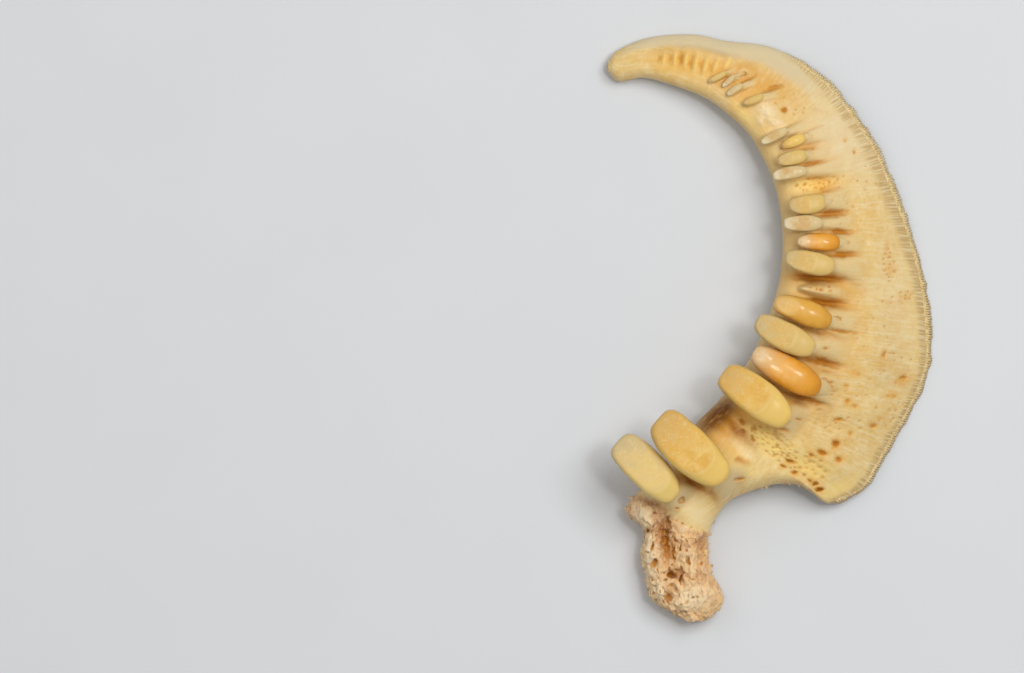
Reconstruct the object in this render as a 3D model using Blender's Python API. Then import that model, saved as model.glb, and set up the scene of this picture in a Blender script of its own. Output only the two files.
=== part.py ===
"""Pharyngeal arch of a river redhorse: one bone of a fish's throat with its comb of grinding teeth.

The bone lies on its back with the teeth up, as it rests on a table. Sizes are in millimetres until
to_metres. X runs from the hollow side of the crescent to the blade, Y from the foot to the horn,
and Z is up from the floor. The origin is on the floor, under the middle of the bone.
"""

import math
from typing import NamedTuple

import bmesh
import bpy
import numpy as np
from mathutils import Matrix, Vector

MILLIMETRE = 0.001
CUT_GAP = 0.3

SECTIONS_PER_STATION = 3
POINTS_ACROSS = 17
CROWN_RINGS, CROWN_SIDES = 12, 12
ROOT_SIDES, RIDGE_SIDES = 12, 8
SURFACE_SAMPLES = 260

BONE_COLOUR = (0.80, 0.67, 0.42, 1.0)
FOOT_COLOUR = (0.69, 0.52, 0.32, 1.0)


class Station(NamedTuple):
    """A line across the bone, from the inner edge of the crescent to its outer edge.

    bow bends the line sideways, towards the horn, by that much at its middle.
    """

    inner: tuple
    outer: tuple
    bow: float = 0.0


# From the tip of the horn, round the blade and its lower lobe, through the neck and down the foot.
STATIONS = (
    Station((-14.75, 23.4), (-14.75, 24.6)),
    Station((-13.8, 22.6), (-13.9, 25.5)),
    Station((-11.4, 22.9), (-11.2, 26.6)),
    Station((-8.0, 21.9), (-7.2, 26.9)),
    Station((-5.7, 20.9), (-4.1, 26.3)),
    Station((-3.6, 19.3), (0.1, 25.7)),
    Station((-2.0, 17.7), (3.9, 23.7)),
    Station((-0.7, 15.5), (7.0, 20.5)),
    Station((0.3, 13.2), (9.8, 16.4)),
    Station((0.9, 10.5), (12.0, 11.2)),
    Station((1.1, 7.6), (13.4, 7.1)),
    Station((0.8, 4.5), (14.3, 3.2)),
    Station((-0.1, 1.3), (14.7, -1.1)),
    Station((-1.5, -2.1), (14.4, -4.1)),
    Station((-2.7, -4.0), (13.1, -7.2)),
    Station((-3.6, -5.2), (11.5, -10.0)),
    Station((-4.3, -6.1), (10.0, -12.6)),
    Station((-4.8, -6.7), (8.7, -14.7), 0.2),
    Station((-5.2, -7.1), (6.7, -15.8), 0.7),
    Station((-5.6, -7.5), (5.2, -16.1), 1.0),
    Station((-6.0, -7.9), (3.9, -15.2), 0.9),
    Station((-6.4, -8.3), (2.6, -14.4), 0.4),
    Station((-7.1, -9.2), (0.6, -14.3)),
    Station((-8.0, -10.6), (-1.9, -15.0)),
    Station((-9.1, -12.4), (-3.8, -15.9)),
    Station((-10.6, -13.8), (-5.0, -17.4)),
    Station((-12.3, -15.2), (-5.5, -18.5)),
    Station((-13.2, -16.8), (-5.7, -19.5)),
    Station((-11.6, -18.5), (-5.7, -20.3)),
    Station((-11.9, -20.6), (-5.6, -21.5)),
    Station((-11.4, -22.8), (-5.2, -22.9)),
    Station((-10.9, -24.8), (-4.3, -24.7)),
    Station((-9.1, -26.0), (-4.9, -26.1)),
    Station((-7.4, -26.9), (-6.1, -26.8)),
)

# Heights and thicknesses at a few stations, joined by a smooth curve: (station, millimetres).
SHELF_HEIGHT = (
    (0, 1.95), (1, 2.55), (2, 3.1), (5, 4.5), (9, 5.3), (13, 5.9), (19, 6.0), (24, 5.5), (27, 4.6), (31, 4.0), (33, 3.1),
)
RIM_HEIGHT = (
    (0, 1.0), (1, 1.1), (3, 2.3), (6, 2.1), (9, 0.6), (11, 0.0), (13, 0.0), (16, 0.7), (18, 1.3), (19, 1.9), (20, 2.8),
    (21.5, 3.5), (24, 3.3), (27, 2.4), (33, 1.5),
)
SHAFT_THICKNESS = (
    (0, 1.5), (0.4, 2.6), (1, 3.1), (2, 3.1), (3, 3.0), (7, 3.5), (12, 4.1), (18, 4.3), (24, 4.6), (28, 4.7), (31, 4.6),
    (33, 2.6),
)
EDGE_THICKNESS = (
    (0, 1.3), (0.4, 2.2), (1, 2.5), (3, 1.9), (6, 1.2), (9, 1.1), (12, 1.2), (16, 0.9), (19, 1.3), (20, 2.1), (21.5, 3.2), (24, 3.8), (27, 4.2),
    (31, 3.8), (33, 2.2),
)
TROUGH_DEPTH = ((0, 0.0), (1, 0.1), (3, 0.6), (5, 0.6), (8, 0.1), (10, 0.0), (33, 0.0))
BLADE_FULLNESS = 3.0
THINNING_ENDS = 0.5


class Form(NamedTuple):
    """A low oval mound on the upper side, or a hollow where its height is below zero.

    long and short are how far it reaches each way from its middle, before it fades out.
    """

    x: float
    y: float
    long: float
    short: float
    angle: float
    height: float


FOOT_FORMS = (
    Form(-9.7, -19.2, 2.7, 0.75, 96, -0.85),
    Form(-11.5, -17.4, 1.3, 0.8, 110, 0.45),
    Form(-11.0, -21.2, 1.7, 0.6, 96, 0.45),
    Form(-7.5, -20.6, 1.8, 0.8, 96, 0.45),
    Form(-8.8, -22.7, 0.8, 0.6, 20, -0.55),
    Form(-7.1, -23.0, 0.8, 0.7, 60, 0.35),
    Form(-10.5, -23.8, 1.0, 0.5, 115, 0.40),
    Form(-9.3, -24.4, 1.0, 0.5, 80, -0.50),
    Form(-6.2, -24.6, 1.1, 0.8, 30, 0.40),
    Form(-8.2, -25.4, 0.9, 0.6, 0, 0.30),
    Form(-8.3, -16.6, 1.1, 0.9, -45, 0.30),
    Form(-3.4, -12.3, 2.2, 0.9, -45, 0.30),
)
BLADE_FORMS = (
    Form(-4.5, -8.7, 2.4, 0.8, -45, -0.60),
    Form(0.4, -10.4, 2.6, 0.9, -35, 0.35),
    Form(3.6, -12.6, 1.9, 0.8, -25, -0.25),
    Form(6.3, -12.6, 1.5, 1.5, 20, 0.25),
    Form(5.4, -8.8, 1.8, 1.0, -15, -0.25),
    Form(8.7, -7.8, 1.6, 1.2, 0, 0.20),
    Form(3.1, -6.6, 1.8, 0.6, -20, -0.40),
    Form(4.7, -3.0, 1.9, 0.6, -14, -0.50),
    Form(4.9, 2.3, 1.9, 0.5, -5, -0.45),
    Form(4.9, 4.6, 1.9, 0.5, -3, -0.45),
    Form(6.6, 8.7, 1.3, 0.5, -5, -0.25),
    Form(5.7, 10.4, 1.4, 0.5, 5, -0.25),
    Form(4.4, 13.1, 1.9, 0.7, 10, -0.40),
    Form(10.7, -5.4, 1.4, 1.2, 0, -0.20),
    Form(9.4, -2.2, 1.9, 1.2, 0, 0.20),
    Form(8.8, 3.2, 1.8, 1.2, 0, -0.20),
    Form(9.6, 8.0, 1.2, 1.9, 10, 0.20),
    Form(7.2, 13.6, 1.4, 1.4, -30, -0.18),
    Form(4.3, 18.6, 1.6, 1.2, -45, 0.18),
)
HORN_FORMS = (
    Form(-0.5, 20.2, 1.4, 0.9, -40, 0.40),
    Form(-2.6, 23.3, 1.2, 0.6, 25, -0.30),
    Form(-4.2, 25.4, 1.6, 0.5, -15, 0.20),
    Form(-10.6, 25.0, 1.2, 0.8, 10, -0.15),
)


class Tooth(NamedTuple):
    """One grinding tooth. Its crown's long axis points outwards, turned by angle from +X.

    lift raises the crown, root_start is where the root begins, as a share of the crown's length
    measured outwards from its middle, and tail is how far the root runs out past the crown.
    """

    x: float
    y: float
    length: float
    width: float
    angle: float
    tail: float
    lift: float = 0.0
    root_start: float = -0.33
    inner_width: float = 0.85


FOOT_TEETH = (
    Tooth(-11.35, -12.95, 7.4, 3.2, -45, 1.0, 0.2, 0.16, 1.0),
    Tooth(-7.3, -11.05, 8.3, 3.7, -43, 1.4, 0.3, 0.02, 0.95),
)
BLADE_TEETH = (
    Tooth(-1.55, -6.35, 7.5, 3.3, -37, 1.2, 0.3, -0.16, 0.95),
    Tooth(1.3, -3.95, 7.0, 3.0, -30, 1.6, -0.4, -0.28, 0.85),
    Tooth(1.15, -0.7, 5.9, 2.6, -27, 3.0, 0.4, -0.30, 0.95),
    Tooth(2.75, 1.4, 5.6, 2.45, -20, 2.4, -0.1, -0.33, 0.85),
    Tooth(3.45, 6.0, 4.6, 2.2, -12, 3.2),
    Tooth(4.25, 7.8, 3.9, 1.85, -2, 2.4, -0.1, -0.33, 0.75),
    Tooth(2.85, 9.5, 3.5, 1.5, 1, 3.1, 0.3),
    Tooth(3.2, 11.3, 3.35, 1.9, 7, 2.3),
    Tooth(1.65, 14.05, 3.1, 1.25, 11, 3.5, 0.2),
    Tooth(1.85, 15.5, 2.7, 1.4, 13, 2.2),
    Tooth(2.0, 17.0, 2.35, 1.15, 22, 2.5, -0.1, -0.33, 0.75),
    Tooth(0.3, 17.45, 2.6, 0.95, 26, 2.2, 0.4),
)
HORN_TEETH = (
    Tooth(-1.65, 20.8, 2.0, 0.8, 23, 1.6),
    Tooth(-3.3, 21.75, 1.7, 0.7, 33, 1.4),
    Tooth(-3.85, 22.55, 1.5, 0.6, 42, 1.2),
    Tooth(-4.85, 22.95, 1.9, 0.6, 28, 1.1),
)
CROWN_RISE_BASE, CROWN_RISE_PER_WIDTH = 0.35, 1.2
CROWN_DEPTH_BASE, CROWN_DEPTH_PER_WIDTH = 0.2, 0.72
INNER_BLUNTNESS, OUTER_BLUNTNESS = 0.32, 0.58
WEAR_LEVEL, WEAR_SLOPE, WEAR_SHARPNESS = 0.66, 0.10, 9
ROOT_WIDTH_SHARE = 0.44
ROOT_DEPTH = 0.45
ROOT_RISES = (0.0, 0.12, 0.35, 0.65, 1.0)
ROOT_FLARE = 1.8
NECK_START, NECK_END = -0.34, 0.40
TAIL_TURN = 0.6
OVAL_BLUNTNESS = 0.8

# The stump of a lost tooth, and the low ridges in the horn's trough where its last teeth were.
STUMP_MIDDLE, STUMP_ANGLE = (4.9, 3.35), -6
STUMP_LENGTH, STUMP_WIDTH, STUMP_HEIGHT = 5.2, 1.55, 1.0
RIDGE_FIRST, RIDGE_LAST = (-5.9, 23.9), (-9.4, 24.7)
RIDGE_COUNT = 6
RIDGE_SIZE = (1.3, 0.45, 0.35)

# The thin cuts: a point on each and the way along it, seen from above.
HORN_CUT = ((-2.0, 17.7), (3.7, 23.6))
FOOT_CUT = ((-6.4, -8.3), (1.4, -14.1))


def smooth_curve(knots, positions):
    """A smooth curve through unevenly spaced knots, read at the given positions."""
    place, value = np.asarray(knots, float).T
    slope = np.gradient(value, place)
    index = np.clip(np.searchsorted(place, positions, side="right") - 1, 0, len(place) - 2)
    run = place[index + 1] - place[index]
    share = (positions - place[index]) / run
    rest = 1 - share
    return (
        rest**2 * (1 + 2 * share) * value[index]
        + share**2 * (1 + 2 * rest) * value[index + 1]
        + share * rest * run * (rest * slope[index] - share * slope[index + 1])
    )


def through_points(points, positions):
    """A Catmull-Rom curve through evenly numbered points, read at the given positions."""
    points = np.asarray(points, float)
    last = len(points) - 1
    index = np.clip(np.floor(positions).astype(int), 0, last - 1)
    share = (positions - index)[:, None]
    before, start = points[np.maximum(index - 1, 0)], points[index]
    end, after = points[index + 1], points[np.minimum(index + 2, last)]
    return 0.5 * (
        2 * start
        + (end - before) * share
        + (2 * before - 5 * start + 4 * end - after) * share**2
        + (3 * start - before - 3 * end + after) * share**3
    )


def smoothstep(low, high, value):
    share = np.clip((value - low) / (high - low), 0, 1)
    return share * share * (3 - 2 * share)


def relief(plan):
    """How far the mounds and hollows raise the upper side at each point seen from above."""
    total = np.zeros(plan.shape[:2])
    for form in FOOT_FORMS + BLADE_FORMS + HORN_FORMS:
        turn = math.radians(form.angle)
        offset = plan - (form.x, form.y)
        along = offset @ (math.cos(turn), math.sin(turn)) / form.long
        aside = offset @ (-math.sin(turn), math.cos(turn)) / form.short
        total += form.height * np.exp(-(along**2) - aside**2)
    return total


def bone_surface(stations, across):
    """Top and underside points of the bone, one row for each station and one column for each share across."""
    inner = through_points([s.inner for s in STATIONS], stations)
    outer = through_points([s.outer for s in STATIONS], stations)
    bow = through_points([[s.bow] for s in STATIONS], stations)
    span = outer - inner
    width = np.linalg.norm(span, axis=1)[:, None]
    sideways = np.stack([-span[:, 1], span[:, 0]], axis=1) / width
    share = np.asarray(across)[None, :]
    arc = (4 * share * (1 - share))[..., None]
    plan = inner[:, None] + span[:, None] * share[..., None] + (sideways * bow)[:, None] * arc

    shelf, rim, shaft, edge, trough = (
        smooth_curve(knots, stations)[:, None]
        for knots in (SHELF_HEIGHT, RIM_HEIGHT, SHAFT_THICKNESS, EDGE_THICKNESS, TROUGH_DEPTH)
    )
    rim_top = rim + edge / 2
    top = rim_top + (shelf - rim_top) * (1 - share**BLADE_FULLNESS)
    top = top - trough * np.sin(math.pi * share) ** 2
    thickness = edge + (shaft - edge) * (1 - smoothstep(0.1, THINNING_ENDS, share))
    inner_round = np.minimum(shaft / 2, width * 0.45)
    outer_round = np.minimum(edge * 0.6, width * 0.45)
    distance = share * width
    into = np.clip(1 - distance / inner_round, 0, 1)
    out_of = np.clip(1 - (width - distance) / outer_round, 0, 1)
    fullness = np.sqrt(np.clip(1 - into**2, 0, 1)) * np.sqrt(np.clip(1 - out_of**2, 0, 1))
    middle = top - thickness / 2
    bulge = thickness / 2 * fullness
    return (
        np.concatenate([plan, (middle + bulge + relief(plan) * fullness)[..., None]], axis=2),
        np.concatenate([plan, (middle - bulge)[..., None]], axis=2),
    )


def top_height_finder():
    """A function that gives the height of the bone's upper surface under a point seen from above."""
    stations = np.linspace(0, len(STATIONS) - 1, SURFACE_SAMPLES)
    top, _ = bone_surface(stations, np.linspace(0, 1, SURFACE_SAMPLES // 4))
    top = top.reshape(-1, 3)

    def height(x, y):
        nearest = np.argmin((top[:, 0] - x) ** 2 + (top[:, 1] - y) ** 2)
        return float(top[nearest, 2])

    return height


def clear_scene():
    for obj in list(bpy.data.objects):
        bpy.data.objects.remove(obj)


def make_material(name, colour):
    material = bpy.data.materials.new(name)
    material.use_nodes = True
    shader = material.node_tree.nodes["Principled BSDF"]
    shader.inputs["Base Color"].default_value = colour
    shader.inputs["Roughness"].default_value = 0.5
    shader.inputs["Metallic"].default_value = 0.0
    return material


def mesh_object(name, bm, collection):
    """A new object that holds the mesh, still in millimetres."""
    bmesh.ops.recalc_face_normals(bm, faces=bm.faces)
    mesh = bpy.data.meshes.new(name)
    bm.to_mesh(mesh)
    bm.free()
    obj = bpy.data.objects.new(name, mesh)
    collection.objects.link(obj)
    return obj


def whole_bone():
    """The bone as one closed loft: each section is a ring over the top and back along the underside."""
    last = len(STATIONS) - 1
    stations = np.linspace(0, last, last * SECTIONS_PER_STATION + 1)
    across = (1 - np.cos(np.linspace(0, math.pi, POINTS_ACROSS))) / 2
    top, under = bone_surface(stations, across)
    rings = np.concatenate([top, under[:, -2:0:-1]], axis=1)
    bm = bmesh.new()
    rows = [[bm.verts.new(point) for point in ring] for ring in rings]
    count = len(rows[0])
    for row, after in zip(rows, rows[1:]):
        for k in range(count):
            n = (k + 1) % count
            bm.faces.new((row[k], row[n], after[n], after[k]))
    bm.faces.new(rows[0])
    bm.faces.new(rows[-1])
    bmesh.ops.triangulate(bm, faces=bm.faces)
    bmesh.ops.recalc_face_normals(bm, faces=bm.faces)
    trim(bm, Vector((0, 0, 0)), Vector((0, 0, 1)))
    return bm


def trim(bm, point, keep):
    """Cuts the mesh flat through a point, keeps the side that the vector points to, and closes it."""
    bmesh.ops.bisect_plane(
        bm, geom=bm.verts[:] + bm.edges[:] + bm.faces[:], plane_co=point, plane_no=keep, clear_inner=True
    )
    rim = [edge for edge in bm.edges if edge.is_boundary]
    lids = bmesh.ops.holes_fill(bm, edges=rim, sides=0)["faces"]
    bmesh.ops.triangulate(bm, faces=lids)


def crown_centre_height(tooth, top_height):
    """Height of the middle of a crown over the bone that carries it."""
    turn = math.radians(tooth.angle)
    root = tooth.length * 0.3
    ground = top_height(tooth.x + root * math.cos(turn), tooth.y + root * math.sin(turn))
    rise = CROWN_RISE_BASE + CROWN_RISE_PER_WIDTH * tooth.width + tooth.lift
    return ground + rise - crown_depth(tooth) / 2


def crown_depth(tooth):
    return CROWN_DEPTH_BASE + CROWN_DEPTH_PER_WIDTH * tooth.width


def soft_minimum(first, second):
    """The smaller of two values, with the change from one to the other rounded off."""
    total = math.exp(-WEAR_SHARPNESS * first) + math.exp(-WEAR_SHARPNESS * second)
    return -math.log(total) / WEAR_SHARPNESS


def crown(tooth, top_height):
    """A loaf, blunt at its inner end and domed at its outer one, with a worn flat on top that tilts inwards."""
    bm = bmesh.new()
    bmesh.ops.create_uvsphere(bm, u_segments=CROWN_SIDES, v_segments=CROWN_RINGS, radius=1.0)
    half = Vector((tooth.length / 2, tooth.width / 2, crown_depth(tooth) / 2))
    for vert in bm.verts:
        along, aside, up = vert.co.z, vert.co.x, vert.co.y
        girth = math.hypot(aside, up)
        bluntness = INNER_BLUNTNESS + (OUTER_BLUNTNESS - INNER_BLUNTNESS) * smoothstep(-0.7, 0.7, along)
        fuller = girth**bluntness / girth if girth > 1e-6 else 0.0
        narrow = 1 - (1 - tooth.inner_width) * (1 - along) / 2
        worn = WEAR_LEVEL + WEAR_SLOPE * along
        vert.co = Vector(
            (
                along * half.x,
                aside * fuller * half.y * narrow,
                soft_minimum(up * fuller, worn) * half.z,
            )
        )
    centre = Vector((tooth.x, tooth.y, crown_centre_height(tooth, top_height)))
    bmesh.ops.rotate(bm, matrix=Matrix.Rotation(math.radians(tooth.angle), 3, "Z"), verts=bm.verts)
    bmesh.ops.translate(bm, vec=centre, verts=bm.verts)
    return bm


def oval(start, end, half_width, sides):
    """Points round a blunt oval seen from above, as long as the way from start to end."""
    middle, half = (start + end) / 2, (end - start) / 2
    aside = Vector((-half.y, half.x)).normalized() * half_width
    for k in range(sides):
        angle = 2 * math.pi * k / sides
        yield middle + half * blunt(math.cos(angle)) + aside * blunt(math.sin(angle))


def blunt(value):
    return math.copysign(abs(value) ** OVAL_BLUNTNESS, value)


def loft_rings(rings):
    bm = bmesh.new()
    rows = [[bm.verts.new(point) for point in ring] for ring in rings]
    count = len(rows[0])
    for row, above in zip(rows, rows[1:]):
        for k in range(count):
            n = (k + 1) % count
            bm.faces.new((row[k], row[n], above[n], above[k]))
    bm.faces.new(rows[0])
    bm.faces.new(rows[-1])
    bmesh.ops.triangulate(bm, faces=bm.faces)
    return bm


def root(tooth, top_height):
    """The root under a crown: it leans in from the bone and flares out along it into a low ridge."""
    turn = math.radians(tooth.angle)
    axis = Vector((math.cos(turn), math.sin(turn))) * tooth.length
    tail = Vector((math.cos(turn * TAIL_TURN), math.sin(turn * TAIL_TURN))) * tooth.tail
    middle = Vector((tooth.x, tooth.y))
    neck = middle + axis * NECK_START, middle + axis * NECK_END
    foot = middle + axis * tooth.root_start, middle + axis / 2 + tail
    level = crown_centre_height(tooth, top_height)
    half_width = tooth.width * ROOT_WIDTH_SHARE
    rings = [[(*p, top_height(*p) - ROOT_DEPTH) for p in oval(*foot, half_width, ROOT_SIDES)]]
    for rise in ROOT_RISES:
        spread = (1 - rise) ** ROOT_FLARE
        start, end = (high.lerp(low, spread) for high, low in zip(neck, foot))
        plan = oval(start, end, half_width, ROOT_SIDES)
        rings.append([(*p, top_height(*p) * (1 - rise) + level * rise) for p in plan])
    return loft_rings(rings)


def low_ridge(middle, length, width, height, angle, top_height, tip=0.55):
    """A low oval ridge on the bone, its top drawn in to a share of its size."""
    half = Vector((math.cos(math.radians(angle)), math.sin(math.radians(angle)))) * length / 2
    middle = Vector(middle)
    rings = []
    for rise, size in ((-ROOT_DEPTH, 1.0), (0.0, 1.0), (height, tip)):
        plan = oval(middle - half * size, middle + half * size, width / 2 * size, RIDGE_SIDES)
        rings.append([(*p, top_height(*p) + rise) for p in plan])
    return loft_rings(rings)


def horn_ridge(share, top_height):
    """One of the low ridges across the horn's trough, lower and more upright towards its tip."""
    middle = Vector(RIDGE_FIRST).lerp(Vector(RIDGE_LAST), share)
    length, width, height = RIDGE_SIZE
    return low_ridge(middle, length, width, height * (1 - share / 2), 75 + 15 * share, top_height)


def part_at(bm, cut, side):
    """Cuts the bone upright, half the gap to one side of a line. Side 1 keeps the horn's end, -1 the foot's."""
    start, end = (Vector((*point, 0)) for point in cut)
    along = (end - start).normalized()
    keep = Vector((-along.y, along.x, 0)) * side
    trim(bm, start + keep * CUT_GAP / 2, keep)


def join(base, additions):
    """Unions a collection of closed meshes onto the base, then removes that collection's objects."""
    gathered = bpy.data.collections.new(base.name + "_additions")
    bpy.context.scene.collection.children.link(gathered)
    for number, bm in enumerate(additions):
        mesh_object(f"{base.name}_addition_{number}", bm, gathered)
    modifier = base.modifiers.new("join", "BOOLEAN")
    modifier.operation = "UNION"
    modifier.operand_type = "COLLECTION"
    modifier.collection = gathered
    modifier.solver = "EXACT"
    bpy.context.view_layer.update()
    joined = bpy.data.meshes.new_from_object(base.evaluated_get(bpy.context.evaluated_depsgraph_get()))
    base.modifiers.clear()
    base.data = joined
    for obj in list(gathered.objects):
        bpy.data.objects.remove(obj)
    bpy.data.collections.remove(gathered)


def keep_largest(obj):
    """Leaves only the closed surface with the most faces."""
    bm = bmesh.new()
    bm.from_mesh(obj.data)
    unseen, groups = set(bm.faces), []
    while unseen:
        group = [unseen.pop()]
        for face in group:
            for edge in face.edges:
                neighbours = [other for other in edge.link_faces if other in unseen]
                unseen.difference_update(neighbours)
                group.extend(neighbours)
        groups.append(group)
    groups.sort(key=len, reverse=True)
    scraps = [face for group in groups[1:] for face in group]
    bmesh.ops.delete(bm, geom=scraps, context="FACES")
    bm.to_mesh(obj.data)
    bm.free()


def to_metres(obj):
    obj.data.transform(Matrix.Scale(MILLIMETRE, 4))


def dress(obj, material):
    obj.data.materials.clear()
    obj.data.materials.append(material)
    obj.data.shade_smooth()
    obj.data.set_sharp_from_angle(angle=math.radians(50))


def main():
    clear_scene()
    arch = bpy.data.collections.new("pharyngeal_arch")
    bpy.context.scene.collection.children.link(arch)
    top_height = top_height_finder()
    bone = make_material("dry_bone", BONE_COLOUR)
    spongy = make_material("spongy_bone", FOOT_COLOUR)

    horn = whole_bone()
    part_at(horn, HORN_CUT, 1)
    blade = whole_bone()
    part_at(blade, HORN_CUT, -1)
    part_at(blade, FOOT_CUT, 1)
    foot = whole_bone()
    part_at(foot, FOOT_CUT, -1)

    stump = low_ridge(STUMP_MIDDLE, STUMP_LENGTH, STUMP_WIDTH, STUMP_HEIGHT, STUMP_ANGLE, top_height)
    ridges = [horn_ridge(k / (RIDGE_COUNT - 1), top_height) for k in range(RIDGE_COUNT)]
    plan = (
        ("dorsal_horn", horn, bone, HORN_TEETH, ridges),
        ("toothed_blade", blade, bone, BLADE_TEETH, [stump]),
        ("ventral_foot", foot, spongy, FOOT_TEETH, []),
    )
    for name, bm, material, teeth, extras in plan:
        node = mesh_object(name, bm, arch)
        additions = list(extras)
        for tooth in teeth:
            additions += [root(tooth, top_height), crown(tooth, top_height)]
        join(node, additions)
        keep_largest(node)
        dress(node, material)
        to_metres(node)


main()
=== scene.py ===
"""Dresses the pharyngeal arch of a river redhorse: dry bone, grinding teeth and a serrated rim.

The bone lies teeth up, as it rests on a table. All shapes are worked out in millimetres, in the
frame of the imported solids: X from the hollow of the crescent to the blade, Y from the foot to the
horn, Z up from the floor. They become metres when a mesh is made.
"""

from __future__ import annotations

import itertools
import logging
import math
from dataclasses import dataclass, field
from enum import Enum
from typing import Iterable, Sequence

import bpy
import numpy as np
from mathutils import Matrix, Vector
from mathutils.kdtree import KDTree


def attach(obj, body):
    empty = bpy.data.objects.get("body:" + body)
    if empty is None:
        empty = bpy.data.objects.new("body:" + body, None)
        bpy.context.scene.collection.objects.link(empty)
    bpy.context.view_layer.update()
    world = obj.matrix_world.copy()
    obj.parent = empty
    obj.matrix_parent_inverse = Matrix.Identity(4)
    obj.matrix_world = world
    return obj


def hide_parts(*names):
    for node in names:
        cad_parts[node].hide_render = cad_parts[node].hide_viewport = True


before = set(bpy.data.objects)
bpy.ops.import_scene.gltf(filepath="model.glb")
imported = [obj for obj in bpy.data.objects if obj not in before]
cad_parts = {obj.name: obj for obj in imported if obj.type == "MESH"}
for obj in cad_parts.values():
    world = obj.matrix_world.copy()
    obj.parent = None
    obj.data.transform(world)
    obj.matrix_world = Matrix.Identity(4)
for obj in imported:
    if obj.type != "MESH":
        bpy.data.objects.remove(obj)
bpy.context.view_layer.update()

LOG = logging.getLogger("pharyngeal_arch")
MILLIMETRE = 0.001
BODY = "root"
HORN, BLADE, FOOT = "dorsal_horn", "toothed_blade", "ventral_foot"


def linear(code: str) -> tuple[float, float, float, float]:
    """Turns an sRGB hex value into linear RGBA.

    Args:
        code: Six hex digits.

    Returns:
        The linear colour with full alpha.
    """
    parts = (int(code[k : k + 2], 16) / 255 for k in (0, 2, 4))
    return (*(p / 12.92 if p <= 0.04045 else ((p + 0.055) / 1.055) ** 2.4 for p in parts), 1.0)


def per_metre(size_mm: float) -> float:
    """Gives the texture scale whose features are about size_mm across."""
    return 1 / (size_mm * MILLIMETRE)


def smoothstep(low: float, high: float, value: np.ndarray) -> np.ndarray:
    """Rises smoothly from 0 at low to 1 at high."""
    share = np.clip((value - low) / (high - low), 0, 1)
    return share * share * (3 - 2 * share)


def plateau(rise: tuple[float, float], fall: tuple[float, float], value: np.ndarray) -> np.ndarray:
    """Rises smoothly from 0 to 1 over the first pair, and falls back to 0 over the second."""
    return smoothstep(*rise, value) * (1 - smoothstep(*fall, value))


def smooth_curve(knots: Sequence[tuple[float, float]], positions: np.ndarray) -> np.ndarray:
    """Reads a smooth curve through unevenly spaced knots.

    Args:
        knots: Pairs of place and value, in rising order of place.
        positions: Where the curve is read.

    Returns:
        The curve's values there.
    """
    place, value = np.asarray(knots, float).T
    slope = np.gradient(value, place)
    index = np.clip(np.searchsorted(place, positions, side="right") - 1, 0, len(place) - 2)
    run = place[index + 1] - place[index]
    share = (positions - place[index]) / run
    rest = 1 - share
    return (
        rest**2 * (1 + 2 * share) * value[index]
        + share**2 * (1 + 2 * rest) * value[index + 1]
        + share * rest * run * (rest * slope[index] - share * slope[index + 1])
    )


def through_points(points: Sequence[Sequence[float]], positions: np.ndarray) -> np.ndarray:
    """Reads a Catmull-Rom curve through evenly numbered points.

    Args:
        points: The points, numbered 0, 1, 2 and so on.
        positions: Where the curve is read, in those numbers.

    Returns:
        One point for each position.
    """
    points = np.asarray(points, float)
    last = len(points) - 1
    index = np.clip(np.floor(positions).astype(int), 0, last - 1)
    share = (positions - index)[:, None]
    before, start = points[np.maximum(index - 1, 0)], points[index]
    end, after = points[index + 1], points[np.minimum(index + 2, last)]
    return 0.5 * (
        2 * start
        + (end - before) * share
        + (2 * before - 5 * start + 4 * end - after) * share**2
        + (3 * start - before - 3 * end + after) * share**3
    )


def noise(points: np.ndarray, cell: float, seed: int) -> np.ndarray:
    """Smooth gradient noise between about -1 and 1.

    Args:
        points: Places in millimetres, one row of three each.
        cell: Size of the noise's lumps in millimetres.
        seed: Picks the pattern.

    Returns:
        One value for each point.
    """
    size = 4096
    ways = np.random.default_rng(seed).normal(size=(size, 3))
    ways /= np.linalg.norm(ways, axis=1)[:, None]
    grid = points / cell + 0.37 * seed
    base = np.floor(grid).astype(np.int64)
    part = grid - base
    ease = part**3 * (part * (part * 6 - 15) + 10)
    total = np.zeros(len(points))
    for corner in itertools.product((0, 1), repeat=3):
        key = (base + corner) * np.array((73856093, 19349663, 83492791))
        slope = ways[(key[:, 0] ^ key[:, 1] ^ key[:, 2]) % size]
        weight = np.where(np.array(corner) == 1, ease, 1 - ease).prod(axis=1)
        total += weight * ((part - corner) * slope).sum(axis=1)
    return 1.8 * total


def layered(points: np.ndarray, cell: float, seed: int, layers: int = 3) -> np.ndarray:
    """Adds finer and weaker copies of the noise, each half the size of the one before."""
    return sum(noise(points, cell / 2**k, seed + k) / 2**k for k in range(layers))


def ridged(points: np.ndarray, cell: float, seed: int, layers: int = 3) -> np.ndarray:
    """Adds up copies of noise with sharp crests, between about 0 and 1, as in spongy bone."""
    total = sum((1 - np.abs(noise(points, cell / 2**k, seed + k))) / 2**k for k in range(layers))
    return total / (2 - 2 / 2**layers)


def fill_inputs(tree: bpy.types.NodeTree, node: bpy.types.Node, inputs: dict) -> None:
    """Fills or links a node's inputs.

    Args:
        tree: The tree that the node is in.
        node: The node.
        inputs: Socket names or numbers, each with a value or an output socket to link.
    """
    for key, value in inputs.items():
        if isinstance(value, bpy.types.NodeSocket):
            tree.links.new(value, node.inputs[key])
        else:
            node.inputs[key].default_value = value


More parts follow.
